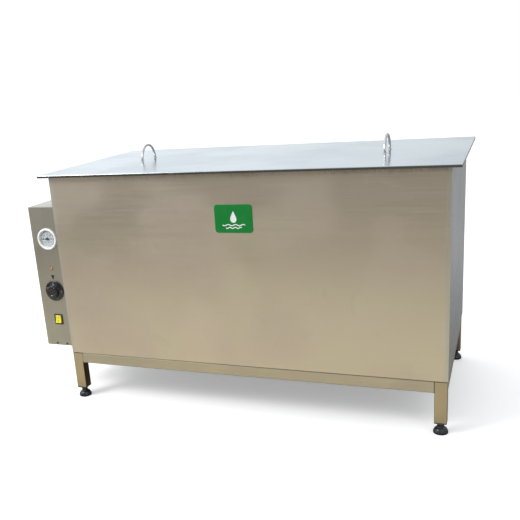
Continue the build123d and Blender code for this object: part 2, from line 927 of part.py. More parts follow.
# -------------------------------------------------------------------------- thermometer
def make_thermometer():
    x = box_centre_x
    z = box_bottom_z + thermometer_height
    front_y = panel_y - bezel_proud
    lens_front_y = front_y + bezel_lip
    lens_rear_y = lens_front_y + lens_thickness
    cup_rear_y = panel_y + case_cup_depth
    dial_y = panel_y + dial_setback
    bezel = rod_y(bezel_radius, front_y, panel_y, x, z)
    bezel = fillet(bezel.edges().group_by(Axis.Y)[0], bezel_round)
    case = bezel + rod_y(case_cup_radius, panel_y, cup_rear_y, x, z)
    case -= rod_y(dial_window_radius, front_y, lens_front_y, x, z)
    case -= rod_y(lens_radius, lens_front_y, lens_rear_y, x, z)
    case -= rod_y(case_cavity_radius, lens_rear_y, cup_rear_y - case_wall, x, z)
    case += rod_y(movement_radius, dial_y + dial_thickness, cup_rear_y, x, z)
    spindle_bore = needle_spindle_radius + running_clearance
    spindle_end_y = dial_y + needle_spindle_length
    case -= rod_y(spindle_bore, dial_y, spindle_end_y + contact_gap, x, z)
    dial = rod_y(dial_radius, dial_y, dial_y + dial_thickness, x, z)
    dial -= rod_y(spindle_bore + hole_clearance, dial_y, dial_y + dial_thickness, x, z)
    hub_front_y = panel_y - needle_front
    needle = rod_y(needle_hub_radius, hub_front_y, dial_y - contact_gap, x, z)
    needle += rod_y(needle_spindle_radius, hub_front_y, spindle_end_y, x, z)
    outline = Polyline(
        (needle_tail, needle_tail_width / 2),
        (-needle_length, needle_tip_width / 2),
        (-needle_length, -needle_tip_width / 2),
        (needle_tail, -needle_tail_width / 2),
        (needle_tail, needle_tail_width / 2),
    )
    blade = Plane.XZ * make_face(outline)
    needle += Pos(x, hub_front_y + contact_gap + needle_thickness, z) * extrude(
        blade, needle_thickness
    )
    lens = rod_y(lens_radius, lens_front_y, lens_rear_y, x, z)
    return {
        "thermometer_case": case,
        "thermometer_dial": dial,
        "thermometer_needle": needle,
        "thermometer_lens": lens,
    }


# --------------------------------------------------------------------------- thermostat
def make_thermostat():
    x = box_centre_x
    z = box_bottom_z + knob_height
    body = block(
        x - thermostat_width / 2,
        x + thermostat_width / 2,
        panel_inner_y,
        panel_inner_y + thermostat_depth,
        z - thermostat_height / 2,
        z + thermostat_height / 2,
    )
    bush_front_y = panel_y - thermostat_bush_proud
    body += rod_y(thermostat_bush_radius, bush_front_y, panel_inner_y, x, z)
    skirt_rear_y = panel_y - knob_gap
    skirt_front_y = skirt_rear_y - knob_skirt
    grip_front_y = skirt_front_y - knob_grip_height
    spindle_front_y = grip_front_y + spindle_bury
    spindle_rear_y = spindle_front_y + spindle_length
    bore = rod_y(
        spindle_radius + running_clearance, bush_front_y, spindle_rear_y + contact_gap, x, z
    )
    spindle = rod_y(spindle_radius, spindle_front_y, spindle_rear_y, x, z)
    skirt = rod_y(knob_radius, skirt_front_y, skirt_rear_y, x, z)
    skirt = fillet(skirt.edges().group_by(Axis.Y)[0], knob_skirt_round)
    grip_tip_radius = knob_grip_radius - knob_grip_taper
    grip = Rot(90, 0, 0) * Cone(knob_grip_radius, grip_tip_radius, knob_grip_height)
    grip = Pos(x, skirt_front_y - knob_grip_height / 2, z) * grip
    for flute in range(knob_flutes):
        angle = 2 * math.pi * (flute + 0.5) / knob_flutes
        reach = knob_grip_radius + knob_flute_offset
        flute_x = x + reach * math.cos(angle)
        flute_z = z + reach * math.sin(angle)
        grip -= rod_y(knob_flute_radius, grip_front_y, skirt_front_y, flute_x, flute_z)
    knob = skirt + grip
    knob -= rod_y(spindle_radius, spindle_front_y, skirt_rear_y, x, z)
    return {
        "thermostat_body": body - bore,
        "thermostat_spindle": spindle,
        "thermostat_knob": knob,
    }


# ------------------------------------------------------------------- switch and pilot lamp
def make_switch():
    x = box_centre_x
    z = box_bottom_z + switch_height
    front_y = panel_y - switch_bezel_proud
    bezel = block(
        x - switch_bezel_width / 2,
        x + switch_bezel_width / 2,
        front_y,
        panel_y,
        z - switch_bezel_height / 2,
        z + switch_bezel_height / 2,
    )
    bezel = fillet(bezel.edges().filter_by(Axis.Y), switch_bezel_corner)
    body = bezel + block(
        x - switch_body_width / 2,
        x + switch_body_width / 2,
        panel_y,
        panel_y + switch_body_depth,
        z - switch_body_height / 2,
        z + switch_body_height / 2,
    )
    cavity_half_x = switch_bezel_width / 2 - switch_bezel_rim
    cavity_half_z = switch_bezel_height / 2 - switch_bezel_rim
    body -= block(
        x - cavity_half_x,
        x + cavity_half_x,
        front_y,
        panel_y + switch_cavity_depth,
        z - cavity_half_z,
        z + cavity_half_z,
    )
    pin_half = cavity_half_x + rocker_pin_length
    pin_hole = rocker_pin_radius + running_clearance
    pin_hole_half = pin_half + rocker_pin_end_gap
    pivot_y = panel_y + rocker_pivot_depth
    body -= rod_x(pin_hole, x - pin_hole_half, x + pin_hole_half, pivot_y, z)
    return {
        "switch_body": body,
        "switch_rocker": switch_rocker(x, z, cavity_half_x, cavity_half_z, pin_half),
    }


def switch_rocker(x, z, cavity_half_x, cavity_half_z, pin_half):
    """A dished rocker on two pins, cut round its pivot so that it swings inside the frame."""
    half_x = cavity_half_x - rocker_clearance
    swing = cavity_half_z - rocker_clearance
    front = rocker_pivot_depth - rocker_thickness
    outline = Polyline(
        (swing, rocker_back),
        (swing, front - rocker_crown),
        (0, front),
        (-swing, front - rocker_crown),
        (-swing, rocker_back),
        (swing, rocker_back),
    )
    slab = extrude(Plane.YZ * Rot(0, 0, 90) * make_face(outline), half_x, both=True)
    slab = slab & (Rot(0, 90, 0) * Cylinder(swing, 4 * half_x))
    slab += Rot(0, 90, 0) * Cylinder(rocker_pin_radius, 2 * pin_half)
    return Pos(x, panel_y + rocker_pivot_depth, z) * Rot(rocker_tilt, 0, 0) * slab


def make_pilot_lamp():
    z = box_bottom_z + pilot_height
    lens = rod_y(pilot_lens_radius, panel_y - pilot_proud, panel_y, box_centre_x, z)
    lens = fillet(lens.edges().group_by(Axis.Y)[0], pilot_dome_round)
    holder = rod_y(pilot_body_radius, panel_y, panel_y + pilot_body_length, box_centre_x, z)
    return {"pilot_lamp": lens + holder}


# --------------------------------------------------------------------------- drain valve
def make_drain():
    inlet_end_y = valve_start_y + valve_inlet_depth
    outlet_start_y = valve_end_y - valve_outlet_depth
    pipe = rod_y(drain_pipe_radius, vat_half_depth, inlet_end_y, drain_x, drain_z)
    pipe -= rod_y(drain_bore_radius, vat_half_depth, inlet_end_y, drain_x, drain_z)
    body = rod_y(valve_body_radius, valve_start_y, valve_end_y, drain_x, drain_z)
    body = chamfer(body.edges().filter_by(GeomType.CIRCLE), valve_body_chamfer)
    boss_top_z = drain_z + valve_boss_height
    body += rod_z(valve_boss_radius, drain_z, boss_top_z, drain_x, ball_y)
    body -= rod_y(drain_pipe_radius, valve_start_y, inlet_end_y, drain_x, drain_z)
    body -= rod_y(valve_port_radius, inlet_end_y, outlet_start_y, drain_x, drain_z)
    body -= rod_y(valve_outlet_radius, outlet_start_y, valve_end_y, drain_x, drain_z)
    body -= Pos(drain_x, ball_y, drain_z) * Sphere(ball_radius + contact_gap)
    stem_bore = stem_radius + running_clearance
    body -= rod_z(stem_bore, drain_z, boss_top_z, drain_x, ball_y)
    ball = Sphere(ball_radius) - Rot(0, 90, 0) * Cylinder(valve_port_radius, 3 * ball_radius)
    ball -= block(
        -ball_radius, ball_radius, -ball_radius, ball_radius, ball_flat, 2 * ball_radius
    )
    stem = rod_z(stem_radius, drain_z + ball_flat, drain_z + stem_top, drain_x, ball_y)
    lever_low_z = boss_top_z + lever_gap
    lever_high_z = lever_low_z + lever_thickness
    tip_x = drain_x - lever_length
    lever = block(
        tip_x,
        drain_x,
        ball_y - lever_width / 2,
        ball_y + lever_width / 2,
        lever_low_z,
        lever_high_z,
    )
    lever += rod_z(lever_width / 2, lever_low_z, lever_high_z, drain_x, ball_y)
    lever -= rod_z(stem_radius, lever_low_z, lever_high_z, drain_x, ball_y)
    grip = block(
        tip_x - grip_wall,
        tip_x + grip_length,
        ball_y - lever_width / 2 - grip_wall,
        ball_y + lever_width / 2 + grip_wall,
        lever_low_z - grip_wall,
        lever_high_z + grip_wall,
    )
    grip = fillet(grip.edges().filter_by(Axis.X), grip_round)
    return {
        "drain_pipe": pipe,
        "drain_valve_body": body,
        "drain_valve_ball": Pos(drain_x, ball_y, drain_z) * ball,
        "drain_valve_stem": stem,
        "drain_lever": lever,
        "drain_lever_grip": grip - lever,
    }


# --------------------------------------------------------------------------- name plate
def make_badge():
    plate = extrude(RectangleRounded(badge_width, badge_height, badge_corner), badge_thickness)
    upright = Rot(90, 0, 0) * plate
    z = rim_top_z - badge_top_distance
    return {"badge_plate": Pos(badge_offset, -half_depth, z) * upright}


# --------------------------------------------------------------------- assemble and write
nodes = {}
for maker in (
    make_vat,
    make_casing,
    make_insulation,
    make_frame,
    make_lid,
    make_lift_floor,
    make_heating,
    make_probes,
    make_control_box,
    make_thermometer,
    make_thermostat,
    make_switch,
    make_pilot_lamp,
    make_drain,
    make_badge,
):
    nodes.update(maker())

whole_low_x = box_left_x
whole_high_x = half_length + lid_overhang
whole_low_y = -half_depth - lid_overhang
whole_high_y = valve_end_y
to_origin = Pos(-(whole_low_x + whole_high_x) / 2, -(whole_low_y + whole_high_y) / 2, 0)

os.makedirs("parts", exist_ok=True)
for name, shape in nodes.items():
    export_step(to_origin * shape, "parts/" + name + ".step")
print(len(nodes), "nodes written, origin offset", to_origin.position)
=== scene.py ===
# %% [markdown]
# # A heated bulk tank, dressed round its working frame
#
# The tank is a stainless box with a loose lid, standing on a tube frame, with a control box on its left
# end and a drain valve at the back. The working model already has every part at its true size and place.
# It is loaded first and never moved. What follows gives each part its finish, and puts a finer surface in
# place of the parts whose roundings, threads, welds and print the working model leaves plain.

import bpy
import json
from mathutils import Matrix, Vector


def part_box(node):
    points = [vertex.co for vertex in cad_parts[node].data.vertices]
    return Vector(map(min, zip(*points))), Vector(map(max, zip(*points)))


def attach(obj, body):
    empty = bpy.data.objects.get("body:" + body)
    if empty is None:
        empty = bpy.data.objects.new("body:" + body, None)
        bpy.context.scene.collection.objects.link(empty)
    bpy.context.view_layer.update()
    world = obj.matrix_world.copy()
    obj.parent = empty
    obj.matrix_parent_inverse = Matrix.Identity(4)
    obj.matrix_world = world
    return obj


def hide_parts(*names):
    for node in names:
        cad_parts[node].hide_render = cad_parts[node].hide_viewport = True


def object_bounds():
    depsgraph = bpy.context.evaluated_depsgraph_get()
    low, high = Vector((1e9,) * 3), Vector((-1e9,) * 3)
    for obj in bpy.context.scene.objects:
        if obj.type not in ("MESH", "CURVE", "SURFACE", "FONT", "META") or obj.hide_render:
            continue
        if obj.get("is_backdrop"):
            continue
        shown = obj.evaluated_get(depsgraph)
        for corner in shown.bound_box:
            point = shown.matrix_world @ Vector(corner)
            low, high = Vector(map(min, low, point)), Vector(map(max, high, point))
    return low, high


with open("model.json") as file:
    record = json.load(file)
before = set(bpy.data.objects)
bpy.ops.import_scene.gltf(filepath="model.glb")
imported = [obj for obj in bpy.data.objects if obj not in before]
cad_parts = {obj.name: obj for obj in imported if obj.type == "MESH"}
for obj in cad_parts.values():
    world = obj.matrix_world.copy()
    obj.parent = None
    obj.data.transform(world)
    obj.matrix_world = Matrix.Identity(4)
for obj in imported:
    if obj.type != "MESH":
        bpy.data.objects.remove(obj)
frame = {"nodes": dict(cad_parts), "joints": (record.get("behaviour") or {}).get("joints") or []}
frame_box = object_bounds()

# %% Tools that the whole script uses
import json
import math

import bmesh
import bpy
import numpy as np
from mathutils import Matrix

mm = 0.001
right = np.array([1.0, 0.0, 0.0])
front = np.array([0.0, -1.0, 0.0])
rear = -front
left = -right
up = np.array([0.0, 0.0, 1.0])
down = -up
scene = bpy.context.scene
print("working in metres, +X right, -Y front, +Z up")

# %% [markdown]
# ## Where the camera stands
#
# The tank is seen from a little to the right of its middle, from about a person's chest height, with the
# camera tipped down and turned towards the left end. The lens looks past the middle of the picture, so a
# small shift puts the tank where it belongs in the frame without turning the camera.

# %% The camera
camera_at = (0.6814, -1.9647, 0.8857)
camera_right = np.array([0.92320, 0.37612, -0.07899])
camera_forward = np.array([-0.38222, 0.87705, -0.29102])
focal_length = 50.1
sideways_shift = 0.106
upward_shift = 0.070

camera_up = np.cross(camera_right, camera_forward)
camera_data = bpy.data.cameras.new("camera")
camera_data.lens = focal_length
camera_data.sensor_width = 36.0
camera_data.shift_x = sideways_shift
camera_data.shift_y = upward_shift
camera = bpy.data.objects.new("camera", camera_data)
turned_to = np.column_stack([camera_right, camera_up, -camera_forward])
camera.matrix_world = Matrix.Translation(camera_at) @ Matrix(turned_to.tolist()).to_4x4()
scene.collection.objects.link(camera)
scene.camera = camera
scene.view_settings.view_transform = "Standard"
print("camera at", camera_at)

# %% [markdown]
# ## Small helpers for surfaces
#
# Every new piece is a sheet of points worked out as one numpy array: rows run one way over the surface and
# columns the other, and each cell between four neighbours is a face. A surface here is a pair: its points,
# and the list of corner numbers of its faces. Several surfaces can be joined before they become one mesh.


# %% A grid of points becomes a surface
def grid(points, wrap_rows=False, wrap_columns=False):
    """Faces over an array of rows x columns x 3: each cell's corners, going round, are one face."""
    rows, columns = points.shape[:2]
    i = np.arange(rows if wrap_rows else rows - 1)[:, None]
    j = np.arange(columns if wrap_columns else columns - 1)[None, :]
    next_i, next_j = (i + 1) % rows, (j + 1) % columns
    corners = [i * columns + j, next_i * columns + j, next_i * columns + next_j, i * columns + next_j]
    faces = np.stack(np.broadcast_arrays(*corners), axis=-1).reshape(-1, 4)
    return points.reshape(-1, 3), faces.tolist()


def joined(*surfaces):
    """Several surfaces as one: each one's corner numbers move past the points that come before it."""
    points, faces, so_far = [], [], 0
    for some_points, some_faces in surfaces:
        points.append(some_points)
        faces += [[corner + so_far for corner in face] for face in some_faces]
        so_far += len(some_points)
    return np.concatenate(points), faces


# %% Places read from the frame
def corners_of(node):
    """A node's lowest and highest corners at rest, as arrays."""
    low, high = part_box(node)
    return np.array(low), np.array(high)


def middle_at(low, high, z):
    """The point midway between two corners in plan, at a height of its own."""
    return np.array([(low[0] + high[0]) / 2, (low[1] + high[1]) / 2, z])


# %% A surface becomes a piece that rides on the frame
def add_piece(name, surface, body, finish, stands_for=(), sharp_over=35):
    """Merges doubled points, turns every face outwards, shades it smooth but for sharp edges, and rides."""
    points, faces = surface
    mesh = bpy.data.meshes.new(name)
    mesh.from_pydata(points.tolist(), [], faces)
    shell = bmesh.new()
    shell.from_mesh(mesh)
    bmesh.ops.remove_doubles(shell, verts=shell.verts, dist=0.004 * mm)
    bmesh.ops.recalc_face_normals(shell, faces=shell.faces)
    shell.to_mesh(mesh)
    shell.free()
    mesh.polygons.foreach_set("use_smooth", np.ones(len(mesh.polygons), bool))
    mesh.set_sharp_from_angle(angle=math.radians(sharp_over))
    mesh.materials.append(finish)
    piece = bpy.data.objects.new(name, mesh)
    scene.collection.objects.link(piece)
    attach(piece, body)
    if stands_for:
        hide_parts(*stands_for)
    print(f"{name}: {len(mesh.polygons)} faces on {body}")
    return piece


# %% Lines with rounded corners
def round_corners(corners, radii, steps=6):
    """Straight runs whose corners become arcs. An arc starts radius / tan(half the angle) from its corner."""
    corners = np.asarray(corners, float)
    pieces = [corners[:1]]
    for before, corner, after, radius in zip(corners, corners[1:], corners[2:], radii):
        if radius == 0:
            pieces.append(corner[None])
            continue
        back = (before - corner) / np.linalg.norm(before - corner)
        ahead = (after - corner) / np.linalg.norm(after - corner)
        half = 0.5 * math.acos(np.clip(back @ ahead, -1, 1))
        centre = corner + (back + ahead) / np.linalg.norm(back + ahead) * radius / math.sin(half)
        spoke_in = corner + back * radius / math.tan(half) - centre
        spoke_out = corner + ahead * radius / math.tan(half) - centre
        turn = math.pi - 2 * half
        t = np.linspace(0, 1, steps + 1)[:, None]
        arc = (np.sin((1 - t) * turn) * spoke_in + np.sin(t * turn) * spoke_out) / math.sin(turn)
        pieces.append(arc + centre)
    pieces.append(corners[-1:])
    return np.concatenate(pieces)


# %% Turned pieces and bent rods
def turned(profile, centre, axis, sides=48, radius_share=1.0, closed=False):
    """A (radius, distance) profile turned about an axis: centre + distance along it + radius round it.
    radius_share may be an array of profile points x sides, for flutes, hexagons and threads."""
    axis = np.asarray(axis, float)
    across = np.cross(axis, up if abs(axis[2]) < 0.9 else right)
    across /= np.linalg.norm(across)
    upright = np.cross(axis, across)
    angle = np.linspace(0, 2 * math.pi, sides, endpoint=False)[:, None]
    spokes = np.cos(angle) * across + np.sin(angle) * upright
    profile = np.asarray(profile, float)
    reach = profile[:, :1] * np.ones((1, sides)) * radius_share
    points = np.asarray(centre) + profile[:, 1, None, None] * axis + reach[..., None] * spokes
    return grid(points, wrap_rows=closed, wrap_columns=True)


def rod_along(path, radius, side, sides=14):
    """A rod carried along a flat path: at each point a ring in the plane of side and the path's normal.
    radius may change along the path, and both ends close on their middle point."""
    path = np.asarray(path, float)
    along = np.gradient(path, axis=0)
    along /= np.linalg.norm(along, axis=1, keepdims=True)
    normal = np.cross(side, along)
    angle = np.linspace(0, 2 * math.pi, sides, endpoint=False)[None, :, None]
    ring = np.cos(angle) * normal[:, None] + np.sin(angle) * np.asarray(side)
    points = path[:, None] + np.broadcast_to(radius, len(path))[:, None, None] * ring
    caps = [np.repeat(path[[end]], sides, axis=0)[None] for end in (0, -1)]
    return grid(np.concatenate([caps[0], points, caps[1]]), wrap_columns=True)


def strokes(starts, ends, width, out, thickness):
    """Thin bars, all at once: each has its two ends, half a width to each side, and a top and a bottom."""
    starts, ends = np.atleast_2d(starts), np.atleast_2d(ends)
    along = (ends - starts) / np.linalg.norm(ends - starts, axis=1, keepdims=True)
    side = np.cross(out, along) * np.reshape(width, (-1, 1)) / 2
    level = np.asarray(out) * thickness
    flat = np.stack([starts - side, ends - side, ends + side, starts + side], axis=1)
    points = np.concatenate([flat, flat + level], axis=1).reshape(-1, 3)
    box = np.array([[3, 2, 1, 0], [4, 5, 6, 7], [0, 1, 5, 4], [1, 2, 6, 5], [2, 3, 7, 6], [3, 0, 4, 7]])
    faces = (np.arange(len(starts))[:, None, None] * 8 + box).reshape(-1, 4)
    return points, faces.tolist()


# %% Printed figures
def figures(text, centre, height, across, upwards, thickness):
    """Flat print of a number: the font's outline, stood on the surface by its own two directions."""
    curve = bpy.data.curves.new("figures", "FONT")
    curve.body = text
    curve.size = height / 0.7
    curve.align_x = "CENTER"
    curve.align_y = "CENTER"
    curve.resolution_u = 3
    holder = bpy.data.objects.new("figures", curve)
    scene.collection.objects.link(holder)
    bpy.context.view_layer.update()
    mesh = bpy.data.meshes.new_from_object(holder.evaluated_get(bpy.context.evaluated_depsgraph_get()))
    flat = np.empty(len(mesh.vertices) * 3)
    mesh.vertices.foreach_get("co", flat)
    flat = flat.reshape(-1, 3)
    mesh.calc_loop_triangles()
    triangles = np.empty(len(mesh.loop_triangles) * 3, int)
    mesh.loop_triangles.foreach_get("vertices", triangles)
    bpy.data.objects.remove(holder)
    out = np.cross(across, upwards)
    face = np.asarray(centre) + flat[:, :1] * across + flat[:, 1:2] * upwards + thickness * out
    faces = triangles.reshape(-1, 3)
    return solid_print(face, faces, out, thickness)


def solid_print(face, faces, out, thickness):
    """Gives flat print a back and a rim: an edge that only one triangle uses is on the outline."""
    edges = np.concatenate([faces[:, [0, 1]], faces[:, [1, 2]], faces[:, [2, 0]]])
    keys = np.sort(edges, axis=1)
    _, index, count = np.unique(keys, axis=0, return_index=True, return_counts=True)
    rim = edges[index[count == 1]]
    n = len(face)
    walls = np.stack([rim[:, 1], rim[:, 0], rim[:, 0] + n, rim[:, 1] + n], axis=1)
    points = np.concatenate([face, face - np.asarray(out) * thickness])
    return points, faces.tolist() + (faces[:, ::-1] + n).tolist() + walls.tolist()


print("surface helpers are ready")

# %% [markdown]
# ## Finishes
#
# Rolled stainless sheet isn't one grey. It has a fine grain along the rolling direction, cloudy patches
# where the skin is brighter or duller, and marks from hands and cloths. All the steel parts share these
# effects, so they are one node group with named inputs, and each material gives it its own colours, grain
# direction and amounts. Moulded plastic and painted parts share a second group, and mineral wool a third.


# %% Building node groups
def new_group(name, inputs, outputs):
    """An empty shader group with its sockets, and the nodes that carry them in and out."""
    group = bpy.data.node_groups.new(name, "ShaderNodeTree")
    for label, kind, value in inputs:
        socket = group.interface.new_socket(label, in_out="INPUT", socket_type=kind)
        socket.default_value = value
    for label, kind in outputs:
        group.interface.new_socket(label, in_out="OUTPUT", socket_type=kind)
    return group, group.nodes.new("NodeGroupInput"), group.nodes.new("NodeGroupOutput")


class Wires:
    """Short ways to add the nodes that the groups use, each linked to what feeds it."""

    def __init__(self, tree):
        self.tree = tree
        self.place = tree.nodes.new("ShaderNodeTexCoord").outputs["Object"]

    def feed(self, socket, value):
        if isinstance(value, bpy.types.NodeSocket):
            self.tree.links.new(value, socket)
        else:
            socket.default_value = value

    def stretch(self, scale):
        node = self.tree.nodes.new("ShaderNodeVectorMath")
        node.operation = "MULTIPLY"
        self.feed(node.inputs[0], self.place)
        self.feed(node.inputs[1], scale)
        return node.outputs[0]

    def noise(self, vector, scale, detail=3.0, roughness=0.5, distortion=0.0):
        node = self.tree.nodes.new("ShaderNodeTexNoise")
        self.feed(node.inputs["Vector"], vector)
        self.feed(node.inputs["Scale"], scale)
        node.inputs["Detail"].default_value = detail
        node.inputs["Roughness"].default_value = roughness
        node.inputs["Distortion"].default_value = distortion
        return node.outputs["Fac"]

    def band(self, value, low, high, out_low=0.0, out_high=1.0):
        result = self.straight(value, low, high, out_low, out_high)
        result.node.interpolation_type = "SMOOTHSTEP"
        return result

    def straight(self, value, low, high, out_low=0.0, out_high=1.0):
        node = self.tree.nodes.new("ShaderNodeMapRange")
        for label, number in zip(
            ("Value", "From Min", "From Max", "To Min", "To Max"), (value, low, high, out_low, out_high)
        ):
            self.feed(node.inputs[label], number)
        return node.outputs["Result"]

    def scaled(self, colour, share):
        node = self.tree.nodes.new("ShaderNodeVectorMath")
        node.operation = "SCALE"
        self.feed(node.inputs[0], colour)
        self.feed(node.inputs["Scale"], share)
        return node.outputs["Vector"]

    def maths(self, operation, first, second):
        node = self.tree.nodes.new("ShaderNodeMath")
        node.operation = operation
        self.feed(node.inputs[0], first)
        self.feed(node.inputs[1], second)
        return node.outputs[0]

    def blend(self, share, first, second):
        node = self.tree.nodes.new("ShaderNodeMix")
        node.data_type = "RGBA"
        self.feed(node.inputs["Factor"], share)
        self.feed(node.inputs["A"], first)
        self.feed(node.inputs["B"], second)
        return node.outputs["Result"]


# %% The steel group
def build_steel_group():
    """Grain: noise squeezed along two axes. Patches: large soft noise. Marks: a band cut from warped noise.
    Scratches: two very long thin noises, of which only the tips show."""
    group, given, made = new_group(
        "rolled_steel",
        [
            ("Colour", "NodeSocketColor", (0.6, 0.6, 0.6, 1)),
            ("Patch colour", "NodeSocketColor", (0.5, 0.5, 0.5, 1)),
            ("Roughness", "NodeSocketFloat", 0.3),
            ("Grain", "NodeSocketVector", (4.0, 4.0, 900.0)),
            ("Patch size", "NodeSocketFloat", 5.0),
            ("Marks", "NodeSocketFloat", 0.5),
            ("Tint colour", "NodeSocketColor", (0.6, 0.6, 0.6, 1)),
            ("Ground", "NodeSocketFloat", 0.0),
            ("Ground colour", "NodeSocketColor", (0.6, 0.6, 0.6, 1)),
        ],
        [("Colour", "NodeSocketColor"), ("Roughness", "NodeSocketFloat"), ("Height", "NodeSocketFloat")],
    )
    wires = Wires(group)
    grain = wires.noise(wires.stretch(given.outputs["Grain"]), 1.0, detail=4.0, roughness=0.6)
    patches = wires.noise(wires.place, given.outputs["Patch size"], detail=2.0, roughness=0.45)
    patches = wires.band(patches, 0.36, 0.66)
    smears = wires.noise(wires.place, 11.0, detail=5.0, roughness=0.62, distortion=1.6)
    smears = wires.maths("MULTIPLY", wires.band(smears, 0.55, 0.72), given.outputs["Marks"])
    long_way = wires.noise(wires.stretch((9.0, 9.0, 420.0)), 1.0, detail=1.0)
    cross_way = wires.noise(wires.stretch((420.0, 420.0, 12.0)), 1.0, detail=1.0)
    scratches = wires.maths("MAXIMUM", wires.band(long_way, 0.73, 0.80), wires.band(cross_way, 0.74, 0.82))
    scratches = wires.maths("MULTIPLY", scratches, given.outputs["Marks"])
    colour = wires.blend(patches, given.outputs["Colour"], given.outputs["Patch colour"])
    tints = wires.noise(wires.stretch((2.6, 2.6, 2.1)), 1.0, detail=1.0, distortion=0.6)
    colour = wires.blend(wires.band(tints, 0.42, 0.62), colour, given.outputs["Tint colour"])
    belt = wires.noise(wires.stretch((520.0, 520.0, 5.0)), 1.0, detail=3.0)
    ground = wires.maths("MULTIPLY", given.outputs["Ground"], wires.band(belt, 0.3, 0.7, 0.55, 1.0))
    colour = wires.blend(ground, colour, given.outputs["Ground colour"])
    streak = wires.maths("MULTIPLY", wires.band(grain, 0.3, 0.7), 0.06)
    colour = wires.blend(streak, colour, (0.9, 0.89, 0.86, 1))
    colour = wires.blend(wires.maths("MULTIPLY", smears, 0.22), colour, (0.42, 0.40, 0.36, 1))
    rough = wires.maths("ADD", given.outputs["Roughness"], wires.band(patches, 0, 1, -0.03, 0.05))
    rough = wires.maths("ADD", rough, wires.band(grain, 0.25, 0.75, -0.03, 0.04))
    rough = wires.maths("ADD", rough, wires.maths("MULTIPLY", smears, 0.10))
    rough = wires.maths("ADD", rough, wires.maths("MULTIPLY", ground, 0.07))
    height = wires.maths("ADD", grain, wires.maths("MULTIPLY", scratches, -0.8))
    height = wires.maths("ADD", height, wires.maths("MULTIPLY", wires.maths("MULTIPLY", ground, belt), 1.5))
    wires.feed(made.inputs["Colour"], colour)
    wires.feed(made.inputs["Roughness"], rough)
    wires.feed(made.inputs["Height"], height)
    return group


steel_group = build_steel_group()


# %% The group for ground edges and the painted shade along a top edge
def build_edge_group():
    """1 near either end of one axis, 0 in between: the distance to the nearer end, less some wandering
    noise, compared with the width of the strip. It marks ground steel along upright edges, and painted shade
    along a panel's top edge."""
    group, given, made = new_group(
        "ground_and_shade_edges",
        [
            ("Axis", "NodeSocketVector", (1.0, 0.0, 0.0)),
            ("Low", "NodeSocketFloat", 0.0),
            ("High", "NodeSocketFloat", 1.0),
            ("Width", "NodeSocketFloat", 0.02),
        ],
        [("Ground", "NodeSocketFloat")],
    )
    wires = Wires(group)
    along = group.nodes.new("ShaderNodeVectorMath")
    along.operation = "DOT_PRODUCT"
    wires.feed(along.inputs[0], wires.place)
    wires.feed(along.inputs[1], given.outputs["Axis"])
    from_low = wires.maths("SUBTRACT", along.outputs["Value"], given.outputs["Low"])
    from_high = wires.maths("SUBTRACT", given.outputs["High"], along.outputs["Value"])
    wander = wires.noise(wires.stretch((60.0, 60.0, 7.0)), 1.0, detail=2.0)
    wander = wires.band(wander, 0.2, 0.8, -0.003, 0.003)
    gap = wires.maths("ADD", wires.maths("MINIMUM", from_low, from_high), wander)
    inner = wires.maths("MULTIPLY", given.outputs["Width"], 0.5)
    outer = wires.maths("MULTIPLY", given.outputs["Width"], 1.5)
    strip = wires.band(gap, inner, outer, 1.0, 0.0)
    streaks = wires.noise(wires.stretch((420.0, 420.0, 16.0)), 1.0, detail=3.0)
    streaks = wires.band(streaks, 0.35, 0.65, 0.45, 1.0)
    wires.feed(made.inputs["Ground"], wires.maths("MULTIPLY", strip, streaks))
    return group


edge_group = build_edge_group()


# %% The group for heat tint round welds
def build_heat_group():
    """Straw then blue rings round four points that mirror each other: fold the place about the middle with
    absolute values, take away the offset of one point, and what is left is the distance to a weld."""
    group, given, made = new_group(
        "heat_tint",
        [
            ("Colour", "NodeSocketColor", (0.6, 0.6, 0.6, 1)),
            ("Middle", "NodeSocketVector", (0.0, 0.0, 0.0)),
            ("Offset", "NodeSocketVector", (0.1, 0.1, 0.0)),
            ("Reach", "NodeSocketFloat", 0.012),
        ],
        [("Colour", "NodeSocketColor")],
    )
    wires = Wires(group)

    def vector_step(operation, first, second=None):
        node = group.nodes.new("ShaderNodeVectorMath")
        node.operation = operation
        wires.feed(node.inputs[0], first)
        if second is not None:
            wires.feed(node.inputs[1], second)
        return node.outputs["Value"] if operation == "LENGTH" else node.outputs["Vector"]

    folded = vector_step("ABSOLUTE", vector_step("SUBTRACT", wires.place, given.outputs["Middle"]))
    gap = vector_step("LENGTH", vector_step("SUBTRACT", folded, given.outputs["Offset"]))
    ragged = wires.noise(wires.place, 90.0, detail=3.0)
    share = wires.maths("DIVIDE", gap, given.outputs["Reach"])
    share = wires.maths("ADD", share, wires.band(ragged, 0.2, 0.8, -0.35, 0.35))
    straw = wires.band(share, 0.5, 1.6, 0.55, 0.0)
    blue = wires.band(share, 0.2, 1.0, 0.7, 0.0)
    colour = wires.blend(straw, given.outputs["Colour"], (0.62, 0.50, 0.30, 1))
    wires.feed(made.inputs["Colour"], wires.blend(blue, colour, (0.20, 0.24, 0.42, 1)))
    return group


heat_group = build_heat_group()


